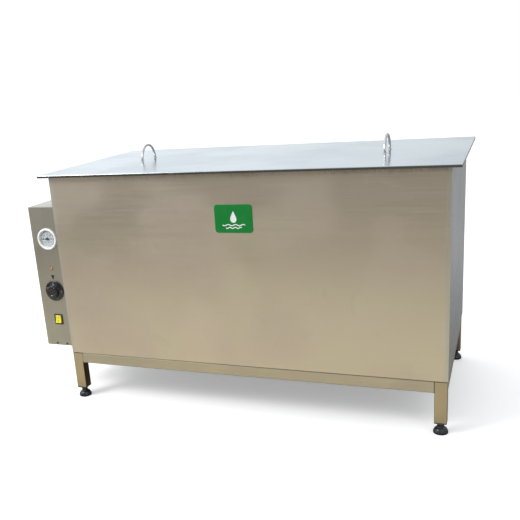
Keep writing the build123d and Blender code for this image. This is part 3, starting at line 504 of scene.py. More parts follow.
# %% The group for moulded and painted parts
def build_moulded_group():
    """A fine moulding texture for the height, slow colour drift, and dust that settles in broad patches."""
    group, given, made = new_group(
        "moulded",
        [
            ("Colour", "NodeSocketColor", (0.1, 0.1, 0.1, 1)),
            ("Dust colour", "NodeSocketColor", (0.4, 0.38, 0.35, 1)),
            ("Roughness", "NodeSocketFloat", 0.4),
            ("Texture size", "NodeSocketFloat", 900.0),
            ("Dust", "NodeSocketFloat", 0.1),
        ],
        [("Colour", "NodeSocketColor"), ("Roughness", "NodeSocketFloat"), ("Height", "NodeSocketFloat")],
    )
    wires = Wires(group)
    fine = wires.noise(wires.place, given.outputs["Texture size"], detail=2.0)
    broad = wires.noise(wires.place, 40.0, detail=4.0, roughness=0.6)
    dust = wires.maths("MULTIPLY", wires.band(broad, 0.42, 0.75), given.outputs["Dust"])
    colour = wires.blend(dust, given.outputs["Colour"], given.outputs["Dust colour"])
    wires.feed(made.inputs["Colour"], colour)
    rough = wires.maths("ADD", given.outputs["Roughness"], wires.maths("MULTIPLY", dust, 0.6))
    wires.feed(made.inputs["Roughness"], wires.maths("ADD", rough, wires.band(fine, 0.3, 0.7, -0.03, 0.03)))
    wires.feed(made.inputs["Height"], fine)
    return group


moulded_group = build_moulded_group()


# %% The group for mineral wool
def build_wool_group():
    """Fibres: two noises stretched along different axes, the larger of them at each point."""
    group, given, made = new_group(
        "mineral_wool",
        [
            ("Colour", "NodeSocketColor", (0.7, 0.6, 0.4, 1)),
            ("Deep colour", "NodeSocketColor", (0.4, 0.3, 0.2, 1)),
        ],
        [("Colour", "NodeSocketColor"), ("Height", "NodeSocketFloat")],
    )
    wires = Wires(group)
    fibre = {"detail": 5.0, "roughness": 0.7, "distortion": 1.0}
    one_way = wires.noise(wires.stretch((40.0, 40.0, 700.0)), 1.0, **fibre)
    other_way = wires.noise(wires.stretch((700.0, 60.0, 60.0)), 1.0, **fibre)
    fibres = wires.maths("MAXIMUM", one_way, other_way)
    share = wires.band(fibres, 0.4, 0.7)
    colour = wires.blend(share, given.outputs["Deep colour"], given.outputs["Colour"])
    wires.feed(made.inputs["Colour"], colour)
    wires.feed(made.inputs["Height"], fibres)
    return group


wool_group = build_wool_group()
print("node groups:", [g.name for g in bpy.data.node_groups])


# %% [markdown]
# A material keeps its shader to itself. The group's colour, roughness and height come in by wire, and what
# is the same all over the surface, such as how metallic it is, is set on the shader.


# %% Materials from the groups
def group_node(material, group, values):
    """Sets a group into a material, with the values of its inputs."""
    node = material.node_tree.nodes.new("ShaderNodeGroup")
    node.node_tree = group
    for label, value in values.items():
        node.inputs[label].default_value = value
    return node


def material_with(name, group, values, bump_depth, shader_values):
    """A Principled shader fed by one group: colour and roughness straight, height through a bump."""
    material = bpy.data.materials.new(name)
    material.use_nodes = True
    nodes, links = material.node_tree.nodes, material.node_tree.links
    shader = nodes["Principled BSDF"]
    effect = group_node(material, group, values)
    effect.name = "effect"
    for label, value in shader_values.items():
        shader.inputs[label].default_value = value
    links.new(effect.outputs["Colour"], shader.inputs["Base Color"])
    if "Roughness" in effect.outputs:
        links.new(effect.outputs["Roughness"], shader.inputs["Roughness"])
    bump = nodes.new("ShaderNodeBump")
    bump.inputs["Distance"].default_value = bump_depth
    bump.inputs["Strength"].default_value = 1.0
    links.new(effect.outputs["Height"], bump.inputs["Height"])
    links.new(bump.outputs["Normal"], shader.inputs["Normal"])
    return material


steel_bump = 0.01 * mm


def steel(name, colour, patch, roughness, grain, patch_size, marks, tint=None):
    """Stainless or plated steel with its grain running where the numbers of grain are small."""
    middle = tuple((one + other) / 2 for one, other in zip(colour, patch))
    values = {
        "Colour": (*colour, 1),
        "Patch colour": (*patch, 1),
        "Roughness": roughness,
        "Grain": grain,
        "Patch size": patch_size,
        "Marks": marks,
        "Tint colour": (*(tint or middle), 1),
    }
    return material_with(name, steel_group, values, steel_bump, {"Metallic": 1.0})


def grind_edges(material, axis, low, high, width, colour):
    """Feeds the steel group's ground share from the strip along a panel's two upright edges."""
    effect = material.node_tree.nodes["effect"]
    strip = group_node(material, edge_group, {"Axis": axis, "Low": low, "High": high, "Width": width})
    effect.inputs["Ground colour"].default_value = (*colour, 1)
    material.node_tree.links.new(strip.outputs["Ground"], effect.inputs["Ground"])


def dull_top(material, high, width, colour):
    """Paints shade along a panel's top edge: a darker colour where the lid's overhang would shade it. The
    strip's other end is put far below the floor, so that only the top one shows."""
    nodes, links = material.node_tree.nodes, material.node_tree.links
    effect = nodes["effect"]
    far_below = -1.0
    strip = group_node(material, edge_group, {"Axis": up, "Low": far_below, "High": high, "Width": width})
    mix = nodes.new("ShaderNodeMix")
    mix.data_type = "RGBA"
    mix.inputs["A"].default_value = effect.inputs["Colour"].default_value
    mix.inputs["B"].default_value = (*colour, 1)
    # Here the strip's share lays painted shade over the steel's own colour.
    links.new(strip.outputs["Ground"], mix.inputs["Factor"])
    links.new(mix.outputs["Result"], effect.inputs["Colour"])


def tint_welds(material, middle, offset, reach):
    """Puts the heat tint between the steel group's colour and the shader."""
    nodes, links = material.node_tree.nodes, material.node_tree.links
    heat = group_node(material, heat_group, {"Middle": middle, "Offset": offset, "Reach": reach})
    links.new(nodes["effect"].outputs["Colour"], heat.inputs["Colour"])
    links.new(heat.outputs["Colour"], nodes["Principled BSDF"].inputs["Base Color"])


def moulded(name, colour, roughness, texture=900.0, dust=0.1, bump_depth=0.01 * mm, **shader_values):
    """Plastic, rubber, paint or print. shader_values are set on the shader's own sockets."""
    values = {"Colour": (*colour, 1), "Roughness": roughness, "Texture size": texture, "Dust": dust}
    return material_with(name, moulded_group, values, bump_depth, shader_values)


# %% The steels
along_x, along_y, along_z = (5, 900, 900), (900, 5, 900), (900, 900, 5)
# The stainless parts below are one steel, but each copy's colour carries a painted reflection: warm on the
# front casing, tan on the legs and rails, which face the warm floor, a little different for the rails that
# run each way, cooler grey on the sides, bluish on the lid, which faces the sky, and darker on the control
# box.
casing_steel = steel(
    "casing_steel", (0.71, 0.62, 0.51), (0.64, 0.55, 0.46), 0.36, along_x, 4.0, 0.35, tint=(0.68, 0.61, 0.48)
)
side_steel = steel("side_steel", (0.64, 0.63, 0.61), (0.57, 0.565, 0.56), 0.30, along_z, 5.0, 0.5)
box_steel = steel("box_steel", (0.485, 0.46, 0.395), (0.43, 0.405, 0.355), 0.36, along_z, 9.0, 0.4)
lid_steel = steel("lid_steel", (0.48, 0.53, 0.565), (0.43, 0.48, 0.52), 0.18, along_x, 3.0, 0.3)
# A darker steel for the lid's lip: a painted reflection of the dark ground in front.
lip_painted_reflection_steel = steel("lip_painted_reflection_steel", (0.27, 0.26, 0.23), (0.18, 0.175, 0.16), 0.22, along_x, 12.0, 0.5)
leg_steel = steel("leg_steel", (0.53, 0.435, 0.285), (0.47, 0.39, 0.265), 0.34, along_z, 12.0, 0.5)
rail_x_steel = steel("rail_x_steel", (0.56, 0.50, 0.385), (0.49, 0.445, 0.35), 0.34, along_x, 10.0, 0.5)
rail_y_steel = steel("rail_y_steel", (0.59, 0.53, 0.41), (0.52, 0.47, 0.37), 0.34, along_y, 10.0, 0.5)
vat_steel = steel("vat_steel", (0.66, 0.66, 0.65), (0.60, 0.60, 0.60), 0.26, along_x, 6.0, 0.7)
plate_steel = steel("plate_steel", (0.55, 0.56, 0.57), (0.44, 0.45, 0.47), 0.42, (60, 60, 60), 30.0, 0.6)
rod_steel = steel("rod_steel", (0.56, 0.56, 0.56), (0.46, 0.46, 0.47), 0.14, (90, 90, 90), 40.0, 0.3)
weld_steel = steel("weld_steel", (0.58, 0.54, 0.50), (0.40, 0.37, 0.42), 0.38, (300, 300, 300), 160.0, 0.8)
dark_screw_steel = steel(
    "dark_screw_steel", (0.16, 0.15, 0.14), (0.10, 0.10, 0.10), 0.40, (240, 240, 240), 80.0, 0.6
)
# A near-black steel for painted shadow in the gaps where the rails stand back from the legs.
painted_gap_shadow_steel = steel("painted_gap_shadow_steel", (0.20, 0.17, 0.12), (0.12, 0.10, 0.09), 0.50, (300, 300, 300), 160.0, 0.8)
zinc_steel = steel("zinc_steel", (0.66, 0.67, 0.69), (0.55, 0.56, 0.60), 0.30, (240, 240, 240), 80.0, 0.6)
valve_nickel = steel("valve_nickel", (0.68, 0.66, 0.60), (0.58, 0.56, 0.50), 0.24, (260, 260, 260), 60.0, 0.5)
brass = steel("brass", (0.72, 0.54, 0.27), (0.60, 0.43, 0.20), 0.30, (260, 260, 260), 60.0, 0.6)
copper = steel("copper", (0.78, 0.42, 0.28), (0.62, 0.30, 0.20), 0.30, (200, 200, 200), 60.0, 0.6)
sheath_steel = steel("sheath_steel", (0.36, 0.34, 0.31), (0.24, 0.23, 0.23), 0.46, (220, 220, 220), 50.0, 0.8)
casing_low, casing_high = corners_of("casing_front")
side_low, side_high = corners_of("casing_right")
ground_width = 10 * mm
# The width of the painted shade under the lid's overhang.
painted_shade_width = 13 * mm
grind_edges(casing_steel, (1, 0, 0), casing_low[0], casing_high[0], ground_width, (0.56, 0.555, 0.525))
grind_edges(side_steel, (0, 1, 0), side_low[1], side_high[1], ground_width, (0.50, 0.49, 0.47))
# Painted shade along the front panel's top edge, under the lid's overhang.
dull_top(casing_steel, casing_high[2], painted_shade_width, (0.40, 0.325, 0.25))

# %% The plastics, prints and glass
black_plastic = moulded("black_plastic", (0.022, 0.022, 0.024), 0.42, dust=0.06)
foot_plastic = moulded("foot_plastic", (0.012, 0.013, 0.018), 0.28, dust=0.05)
knob_plastic = moulded(
    "knob_plastic", (0.008, 0.008, 0.011), 0.14, dust=0.01, bump_depth=0.002 * mm, **{"Coat Weight": 0.4}
)
bezel_plastic = moulded("bezel_plastic", (0.93, 0.95, 0.95), 0.22, dust=0.03, bump_depth=0.002 * mm)
dial_paint = moulded("dial_paint", (0.60, 0.65, 0.70), 0.50, dust=0.03)
dark_print = moulded("dark_print", (0.006, 0.006, 0.008), 0.60, dust=0.01)
white_print = moulded("white_print", (0.80, 0.82, 0.84), 0.45, dust=0.05)
grey_print = moulded("grey_print", (0.34, 0.35, 0.36), 0.45, dust=0.05)
badge_green = moulded(
    "badge_green", (0.005, 0.19, 0.032), 0.30, texture=500.0, dust=0.02, **{"Specular IOR Level": 0.3}
)
switch_yellow = moulded(
    "switch_yellow", (0.86, 0.72, 0.02), 0.25, dust=0.04, bump_depth=0.003 * mm,
    **{"Subsurface Weight": 0.2, "Subsurface Radius": (0.004, 0.003, 0.001)},
)
amber_plastic = moulded("amber_plastic", (0.62, 0.24, 0.05), 0.18, dust=0.02, bump_depth=0.002 * mm)
grip_vinyl = moulded("grip_vinyl", (0.02, 0.09, 0.34), 0.35, texture=300.0, dust=0.08, bump_depth=0.02 * mm)
terminal_plastic = moulded("terminal_plastic", (0.72, 0.72, 0.66), 0.45, dust=0.08)
wool = material_with(
    "wool", wool_group,
    {"Colour": (0.74, 0.62, 0.33, 1), "Deep colour": (0.42, 0.32, 0.15, 1)}, 1.0 * mm, {"Roughness": 0.95},
)
lens_glass = moulded(
    "lens_glass", (0.97, 0.98, 0.99), 0.04, dust=0.01, bump_depth=0.0005 * mm,
    **{"Transmission Weight": 1.0, "IOR": 1.45, "Alpha": 0.3},
)
print("materials:", len(bpy.data.materials))

# %% [markdown]
# ## Parts that keep their working shape
#
# Flat sheet, square tube and drilled plate are already right, so these nodes stay and take a finish. The
# grain runs along each tube, and along the length of the long panels, as it does on bought sheet.

# %% Finishes for the nodes that stay
node_finishes = {
    "casing_front": casing_steel, "casing_rear": casing_steel,
    "casing_left": side_steel, "casing_right": side_steel, "casing_base_plate": plate_steel,
    "vat_wrap": vat_steel, "vat_end_left": vat_steel, "vat_end_right": vat_steel, "vat_rim": vat_steel,
    "insulation_sides": wool, "insulation_bottom": wool,
    "rail_front": rail_x_steel, "rail_rear": rail_x_steel,
    "rail_left": rail_y_steel, "rail_right": rail_y_steel,
    "leg_inserts": black_plastic, "lid_channels": vat_steel,
    "lift_floor_plate": vat_steel, "lift_floor_runners": vat_steel,
    "thermostat_probe": copper, "thermometer_probe": copper,
    "control_box_cover": box_steel, "control_box_bottom": box_steel, "control_box_backplate": plate_steel,
    "terminal_block": terminal_plastic, "thermometer_dial": dial_paint, "thermometer_needle": dark_print,
    "thermostat_body": black_plastic, "thermostat_spindle": zinc_steel, "switch_body": black_plastic,
    "drain_pipe": vat_steel, "drain_valve_ball": rod_steel, "drain_lever": zinc_steel,
}
legs = [name for name in frame["nodes"] if name.startswith(("leg_front", "leg_rear"))]
node_finishes.update(dict.fromkeys(legs, leg_steel))


def finish_node(name, finish):
    """Puts one material on a node in place of the plain one that it came with."""
    slots = frame["nodes"][name].material_slots
    if not slots:
        frame["nodes"][name].data.materials.append(finish)
    for slot in slots:
        slot.material = finish


for name, finish in node_finishes.items():
    finish_node(name, finish)
print(len(node_finishes), "nodes keep their shape")


# %% [markdown]
# ## The lid
#
# The lid is one sheet with its edges folded down. Thin sheet is never quite flat: it springs up a fraction
# of a millimetre between its stiffening channels, which is what makes the reflections in it wander. So the
# top is a grid that swells a little, and round it the folded edge is a short profile carried along the
# outline: out over the bend, down the lip, back up its inner face. At each corner the directions fan out,
# which rounds the corner with the same profile.


# %% A folded tray: top, rim and underside
def directions_round(xs, ys, corner_steps):
    """Points round a rectangle with the outward direction at each, fanning through 90 degrees at corners."""
    quarter = np.linspace(0, math.pi / 2, corner_steps + 1)
    sides = [
        (np.column_stack([xs, np.full_like(xs, ys[0])]), -math.pi / 2),
        (np.column_stack([np.full_like(ys, xs[-1]), ys]), 0.0),
        (np.column_stack([xs[::-1], np.full_like(xs, ys[-1])]), math.pi / 2),
        (np.column_stack([np.full_like(ys, xs[0]), ys[::-1]]), math.pi),
    ]
    places, angles = [], []
    for points, facing in sides:
        places += [points, np.repeat(points[-1:], corner_steps - 1, axis=0)]
        angles += [np.full(len(points), facing), facing + quarter[1:-1]]
    angles = np.concatenate(angles)
    return np.concatenate(places), np.column_stack([np.cos(angles), np.sin(angles)])


def tray(xs, ys, section, top_z, bottom_z, swell, corner_steps=5):
    """A grid on top, a grid below, and section, a list of (outward, height) pairs, carried round between."""
    x, y = np.meshgrid(xs, ys, indexing="ij")
    rise = swell(x, y)
    top = grid(np.stack([x, y, top_z + rise], axis=-1))
    bottom = grid(np.stack([x, y, bottom_z + rise], axis=-1))
    places, outward = directions_round(xs, ys, corner_steps)
    section = np.asarray(section)
    flat = places[None] + section[:, :1, None] * outward[None]
    heights = np.broadcast_to(section[:, 1:, None], (len(section), len(places), 1))
    return joined(top, bottom, grid(np.concatenate([flat, heights], axis=-1), wrap_columns=True))


# %% The lid's sheet
lid_low, lid_high = corners_of("lid_sheet")
lid_bend = 1.7 * mm
lid_sheet_thickness = 1.5 * mm
lid_swell = 0.7 * mm


def lid_shape(x, y):
    """Two long low waves along the lid and one across, all dying away to nothing at the edges."""
    s = (x - lid_low[0]) / (lid_high[0] - lid_low[0])
    t = (y - lid_low[1]) / (lid_high[1] - lid_low[1])
    fade = np.clip(np.sin(math.pi * s) * np.sin(math.pi * t) * 2.2, 0, 1)
    waves = 0.5 + 0.28 * np.sin(9.0 * s + 1.1 + 1.4 * t) + 0.22 * np.sin(17.0 * s - 2.0 * t)
    return lid_swell * fade * waves


lid_xs = np.linspace(lid_low[0] + lid_bend, lid_high[0] - lid_bend, 110)
lid_ys = np.linspace(lid_low[1] + lid_bend, lid_high[1] - lid_bend, 58)
lid_edge = round_corners(
    [
        (0, lid_high[2]),
        (lid_bend, lid_high[2]),
        (lid_bend, lid_low[2]),
        (lid_bend - lid_sheet_thickness, lid_low[2]),
        (lid_bend - lid_sheet_thickness, lid_high[2] - lid_sheet_thickness),
        (0, lid_high[2] - lid_sheet_thickness),
    ],
    [1.6 * mm, 0.5 * mm, 0.5 * mm, 0.12 * mm],
)
lid_surface = tray(lid_xs, lid_ys, lid_edge, lid_high[2], lid_high[2] - lid_sheet_thickness, lid_shape)
lid_skin = add_piece("lid_skin", lid_surface, "lid", lid_steel, ["lid_sheet"])


# %% The lip, with a painted reflection of the dark ground in its colour, and the heat tint at the handles' feet
def paint_faces(piece, finish, chosen):
    """Gives a second material to the faces that chosen picks from their centres."""
    polygons = piece.data.polygons
    centres = np.empty(len(polygons) * 3)
    polygons.foreach_get("center", centres)
    picked = chosen(centres.reshape(-1, 3))
    piece.data.materials.append(finish)
    polygons.foreach_set("material_index", picked.astype(int))
    print(f"{piece.name}: {picked.sum()} faces in {finish.name}")


lip_starts = 1.0 * mm
# The lip's faces take the darker steel: a painted reflection of the dark ground.
paint_faces(lid_skin, lip_painted_reflection_steel, lambda centre: centre[:, 2] < lid_high[2] - lip_starts)
handle_low, handle_high = corners_of("lid_handle_right")
lid_middle = (lid_low + lid_high) / 2
lid_middle[2] = lid_high[2]
handle_bar = 3.5 * mm
tint_reach = 10 * mm
handle_foot = np.array([(handle_low[0] + handle_high[0]) / 2, handle_high[1] - handle_bar, lid_high[2]])
tint_welds(lid_steel, tuple(lid_middle), tuple(handle_foot - lid_middle), tint_reach)

# %% [markdown]
# ## Handles and welds
#
# Each handle is a round bar bent to an arch, with both feet welded to the lid. The bar is a ring of points
# carried along the arch. A weld bead is a row of frozen puddles, so its radius goes up and down along it.


# %% Weld beads
def weld_ring(centre, axis, radius, bead, ripples=16, sides=64):
    """A doughnut whose thickness swells and shrinks as it goes round, one swell for each puddle."""
    round_bead = np.linspace(0, 2 * math.pi, 10, endpoint=False)
    angle = np.linspace(0, 2 * math.pi, sides, endpoint=False)
    swell = bead * (1 + 0.16 * np.sin(ripples * angle) + 0.08 * np.sin(3 * angle))
    radii = radius + np.cos(round_bead)[:, None] * swell
    profile = np.column_stack([np.ones(10), np.sin(round_bead) * bead])
    return turned(profile, centre, axis, sides, radii, closed=True)


def weld_line(path, side, bead, pitch=3.0 * mm):
    """A rod along the joint whose radius ripples once for each puddle."""
    path = np.asarray(path, float)
    length = np.concatenate([[0], np.cumsum(np.linalg.norm(np.diff(path, axis=0), axis=1))])
    steps = np.arange(0, length[-1], pitch / 5)
    fine = np.column_stack([np.interp(steps, length, path[:, k]) for k in range(3)])
    radius = bead * (1 + 0.18 * np.sin(2 * math.pi * steps / pitch))
    return rod_along(fine, radius, side, sides=8)


# %% The two handles
handle_weld = 1.7 * mm
for side_name in ("left", "right"):
    low, high = corners_of("lid_handle_" + side_name)
    x = (low[0] + high[0]) / 2
    front_y, rear_y = low[1] + handle_bar, high[1] - handle_bar
    arch = (rear_y - front_y) / 2
    foot_z, crown_z = low[2] - 0.5 * mm, high[2] - handle_bar
    turn = np.linspace(0, math.pi, 41)
    arch_y = (front_y + rear_y) / 2 - arch * np.cos(turn)
    arch_z = crown_z - arch + arch * np.sin(turn)
    bar_path = np.column_stack([np.full(41, x), arch_y, arch_z])
    bar_path = np.concatenate([[[x, front_y, foot_z]], bar_path, [[x, rear_y, foot_z]]])
    add_piece(
        f"handle_bar_{side_name}", rod_along(bar_path, handle_bar, right, sides=20), "lid",
        rod_steel, ["lid_handle_" + side_name],
    )
    rings = [weld_ring((x, y, low[2]), up, handle_bar + 0.6 * mm, handle_weld) for y in (front_y, rear_y)]
    add_piece(f"handle_welds_{side_name}", joined(*rings), "lid", weld_steel)

# %% [markdown]
# ## The thermometer
#
# A capillary thermometer has a white bezel with a rounded front edge, a printed dial and a clear window.
# The bezel is turned like a part on a lathe: one closed profile from the middle of the back, round the
# outside and over the edge to the recess that the dial sits in. The scale is thin print on the dial, with
# figures every 20 degrees.

# %% Where the controls are
bezel_low, bezel_high = corners_of("thermometer_case")
dial_low, dial_high = corners_of("thermometer_dial")
panel_low, panel_high = corners_of("control_box_cover")
panel_y = panel_low[1]
control_x = (bezel_low[0] + bezel_high[0]) / 2
thermometer = np.array([control_x, panel_y, (bezel_low[2] + bezel_high[2]) / 2])
bezel_radius = (bezel_high[0] - bezel_low[0]) / 2
print("thermometer centre", thermometer.round(4), "radius", round(bezel_radius / mm, 2), "mm")

# %% The bezel and its case
bezel_proud = panel_y - bezel_low[1]
case_depth = bezel_high[1] - panel_y
case_radius = 28.6 * mm
window_radius = 25.4 * mm
dial_front = panel_y - dial_low[1]
bezel_profile = round_corners(
    [
        (0, -case_depth),
        (case_radius, -case_depth),
        (case_radius, -0.2 * mm),
        (bezel_radius, -0.2 * mm),
        (bezel_radius, bezel_proud - 1.0 * mm),
        (bezel_radius - 2.2 * mm, bezel_proud),
        (window_radius + 1.6 * mm, bezel_proud),
        (window_radius, bezel_proud - 1.6 * mm),
        (window_radius, dial_front - 1.2 * mm),
        (0, dial_front - 1.2 * mm),
    ],
    [1.0 * mm, 0, 0.2 * mm, 1.4 * mm, 1.4 * mm, 0.8 * mm, 0.5 * mm, 0],
    steps=5,
)
add_piece(
    "thermometer_bezel", turned(bezel_profile, thermometer, front, 96), "tank",
    bezel_plastic, ["thermometer_case"],
)

# %% The window
lens_low, lens_high = corners_of("thermometer_lens")
lens_back = panel_y - lens_high[1]
across = np.linspace(0, 1, 9)
dome = np.column_stack([across * window_radius, lens_back + 1.0 * mm + 0.7 * mm * (1 - across**2)])
lens_profile = np.concatenate([dome, [[window_radius, lens_back], [0, lens_back]]])
add_piece(
    "thermometer_window", turned(lens_profile, thermometer, front, 64), "tank",
    lens_glass, ["thermometer_lens"],
)


# %% The scale on the dial
def on_dial(centre, radius, degrees, lift):
    """A point on the dial: degrees run clockwise from nine o'clock, as the needle does."""
    angle = np.radians(degrees)
    spoke = np.stack([-np.cos(angle), np.zeros_like(angle), np.sin(angle)], axis=-1)
    return centre + np.reshape(radius, (-1, 1)) * spoke + lift * front


scale_start, scale_end = -45.0, 225.0
hottest = 120
dial_centre = np.array([thermometer[0], dial_low[1], thermometer[2]])
print_lift = 0.02 * mm
print_depth = 0.08 * mm
degrees_of = np.linspace(scale_start, scale_end, hottest // 2 + 1)
reading = np.linspace(0, hottest, hottest // 2 + 1)
is_major = reading % 20 == 0
is_middle = (reading % 10 == 0) & ~is_major
inner = np.where(is_major, 17.6, np.where(is_middle, 18.8, 20.2)) * mm
outer = np.full(len(inner), 21.8 * mm)
ring_radius = 22.1 * mm
figure_radius = 13.6 * mm
ticks = strokes(
    on_dial(dial_centre, inner, degrees_of, print_lift),
    on_dial(dial_centre, outer, degrees_of, print_lift),
    np.where(is_major, 0.75, 0.4) * mm, front, print_depth,
)
ring_turn = np.linspace(scale_start, scale_end, 91)
ring_at = on_dial(dial_centre, np.full(91, ring_radius), ring_turn, print_lift)
ring = strokes(ring_at[:-1], ring_at[1:], 0.45 * mm, front, print_depth)
numbers = []
for value in range(0, hottest + 1, 20):
    turn = scale_start + (scale_end - scale_start) * value / hottest
    place = on_dial(dial_centre, figure_radius, np.array([turn]), print_lift)[0]
    numbers.append(figures(str(value), place, 3.6 * mm, right, up, print_depth))
numbers.append(figures("°C", dial_centre + 9.5 * mm * down, 3.2 * mm, right, up, print_depth))
add_piece("dial_print", joined(ticks, ring, *numbers), "tank", dark_print)

# %% The needle's hub
needle_low, needle_high = corners_of("thermometer_needle")
hub_top = panel_y - needle_low[1]
hub_profile = round_corners(
    [(0, hub_top - 0.9 * mm), (3.6 * mm, hub_top - 0.9 * mm), (3.6 * mm, hub_top), (0, hub_top + 0.35 * mm)],
    [0.1 * mm, 0.4 * mm],
)
add_piece("needle_hub", turned(hub_profile, thermometer, front, 32), "needle", black_plastic)

# %% [markdown]
# ## The thermostat knob
#
# The knob is a gloss black moulding: a flat skirt with its temperature scale printed round it, and a fluted
# grip in the middle. A fluted grip is a turned profile whose radius also depends on the angle: it dips
# towards the axis at every flute, and the dip fades out at the skirt and at the rounded top.

# %% The knob's moulding
knob_low, knob_high = corners_of("thermostat_knob")
knob = np.array([control_x, panel_y, (knob_low[2] + knob_high[2]) / 2])
knob_radius = (knob_high[0] - knob_low[0]) / 2
knob_back = panel_y - knob_high[1]
knob_front = panel_y - knob_low[1]
skirt_top = knob_back + 3.0 * mm
grip_radius = 18.6 * mm
knob_profile = round_corners(
    [
        (0, knob_back),
        (knob_radius, knob_back),
        (knob_radius, skirt_top - 0.6 * mm),
        (grip_radius + 0.4 * mm, skirt_top + 0.8 * mm),
        (grip_radius - 0.9 * mm, knob_front - 0.4 * mm),
        (11.0 * mm, knob_front),
        (9.0 * mm, knob_front - 1.2 * mm),
        (0, knob_front - 1.2 * mm),
    ],
    [0.5 * mm, 1.3 * mm, 1.6 * mm, 2.4 * mm, 1.0 * mm, 1.0 * mm],
    steps=8,
)
knob_sides = 180
flutes = 12
angle = np.linspace(0, 2 * math.pi, knob_sides, endpoint=False)
dip = np.clip(np.cos(flutes * angle), 0, 1) ** 1.5
on_grip = np.clip((knob_profile[:, 1] - skirt_top - 1.0 * mm) / (2.0 * mm), 0, 1)
on_grip *= np.clip((knob_profile[:, 0] - 12.0 * mm) / (4.0 * mm), 0, 1)
knob_share = 1 - 0.085 * on_grip[:, None] * dip[None, :]
add_piece(
    "knob_moulding", turned(knob_profile, knob, front, knob_sides, knob_share), "knob",
    knob_plastic, ["thermostat_knob"],
)

# %% The knob's scale
knob_turn = 270.0
coolest_set, hottest_set = 30, 110
mark_count = 33
marks_at = np.linspace(0, knob_turn, mark_count)
scale_face = knob + front * (skirt_top + 0.45 * mm)


def on_knob(radius, turned_back):
    """A point on the skirt that comes under the index once the knob has turned by that many degrees."""
    angle = np.radians(90 + turned_back)
    spoke = np.stack([np.cos(angle), np.zeros_like(angle), np.sin(angle)], axis=-1)
    return scale_face + np.reshape(radius, (-1, 1)) * spoke


long_marks = np.arange(mark_count) % 4 == 0
knob_marks = strokes(
    on_knob(np.where(long_marks, 27.6, 28.3) * mm, marks_at),
    on_knob(np.full(mark_count, 29.4 * mm), marks_at), 0.5 * mm, front, 0.08 * mm,
)
knob_numbers = []
for value in range(coolest_set, hottest_set + 1, 20):
    turned_back = knob_turn * (value - coolest_set) / (hottest_set - coolest_set)
    angle = math.radians(turned_back)
    upwards = np.array([-math.sin(angle), 0.0, math.cos(angle)])
    across = np.cross(upwards, front)
    place = on_knob(24.2 * mm, np.array([turned_back]))[0] + front * 0.25 * mm
    knob_numbers.append(figures(str(value), place, 3.4 * mm, across, upwards, 0.4 * mm))
add_piece("knob_scale", joined(knob_marks, *knob_numbers), "knob", grey_print)

# %% [markdown]
# Above the knob a black triangle, printed on the panel, points down at the scale, and above that is a small
# amber pilot lamp. The triangle is a thin prism that follows the panel's flat face.

# %% The index triangle
index_top = knob[2] + 47.5 * mm
index_tip = knob[2] + 33 * mm
index_half = 6.0 * mm
triangle = np.array(
    [
        [control_x - index_half, panel_y - 0.15 * mm, index_top],
        [control_x, panel_y - 0.15 * mm, index_tip],
        [control_x + index_half, panel_y - 0.15 * mm, index_top],
    ]
)
index_surface = solid_print(triangle, np.array([[0, 1, 2]]), front, 0.14 * mm)
add_piece("index_triangle", index_surface, "tank", dark_print)

# %% The pilot lamp
pilot_low, pilot_high = corners_of("pilot_lamp")
pilot = np.array([control_x, panel_y, (pilot_low[2] + pilot_high[2]) / 2])
pilot_proud = panel_y - pilot_low[1]
pilot_radius = (pilot_high[0] - pilot_low[0]) / 2
lens_across = np.linspace(0, 1, 8)
jewel_radius = pilot_radius - 0.9 * mm
jewel_height = pilot_proud * (0.45 + 0.55 * np.sqrt(1 - 0.97 * lens_across**2))
jewel = np.column_stack([lens_across * jewel_radius, jewel_height])
jewel = np.concatenate([jewel, [[jewel_radius, -1.0 * mm], [0, -1.0 * mm]]])
facets = 1 + 0.05 * np.cos(10 * np.linspace(0, 2 * math.pi, 60, endpoint=False))[None, :] * np.ones((10, 1))
jewel_surface = turned(jewel, pilot, front, 60, facets)
add_piece("pilot_jewel", jewel_surface, "tank", amber_plastic, ["pilot_lamp"])
pilot_collar = round_corners(
    [
        (pilot_radius - 0.8 * mm, -1.0 * mm),
        (pilot_radius, -1.0 * mm),
        (pilot_radius, 1.0 * mm),
        (pilot_radius - 0.8 * mm, 1.0 * mm),
    ],
    [0.2 * mm, 0.35 * mm],
)
collar_surface = turned(pilot_collar, pilot, front, 40, closed=True)
add_piece("pilot_collar", collar_surface, "tank", black_plastic)

# %% [markdown]
# ## The rocker switch
#
# The yellow rocker is dished, so that a finger finds either end. Seen from the side its front is a shallow
# arc. The piece is a grid over the rocker's front, pushed in by that arc and rounded off near the edges,
# closed by a flat back. It is worked out in the rocker's own directions, leaning as the switch stands off.

# %% The rocker
rocker_tilt = math.radians(8.0)
switch_joint = next(joint for joint in frame["joints"] if joint["name"] == "rocker_press")
rocker_pivot = np.array([control_x, panel_y + 1.0 * mm, switch_joint["pos_m"][2]])
rocker_half_x = 9.1 * mm
rocker_half_z = 11.35 * mm
rocker_edge = 0.7 * mm
rocker_middle = 4.0 * mm
rocker_dish = 1.5 * mm
dish_power = 1.6
s = np.linspace(-1, 1, 25)
t = np.linspace(-1, 1, 31)
s_grid, t_grid = np.meshgrid(s, t, indexing="ij")
dished = rocker_middle + rocker_dish * np.abs(t_grid) ** dish_power
edge_x = np.clip((np.abs(s_grid) - (1 - rocker_edge / rocker_half_x)) * rocker_half_x / rocker_edge, 0, 1)
edge_z = np.clip((np.abs(t_grid) - (1 - rocker_edge / rocker_half_z)) * rocker_half_z / rocker_edge, 0, 1)
rounding = rocker_edge * (1 - np.sqrt(np.clip(1 - np.maximum(edge_x, edge_z) ** 2, 0, 1)))
lean_z = np.array([0.0, math.sin(rocker_tilt), math.cos(rocker_tilt)])
lean_out = np.array([0.0, -math.cos(rocker_tilt), math.sin(rocker_tilt)])


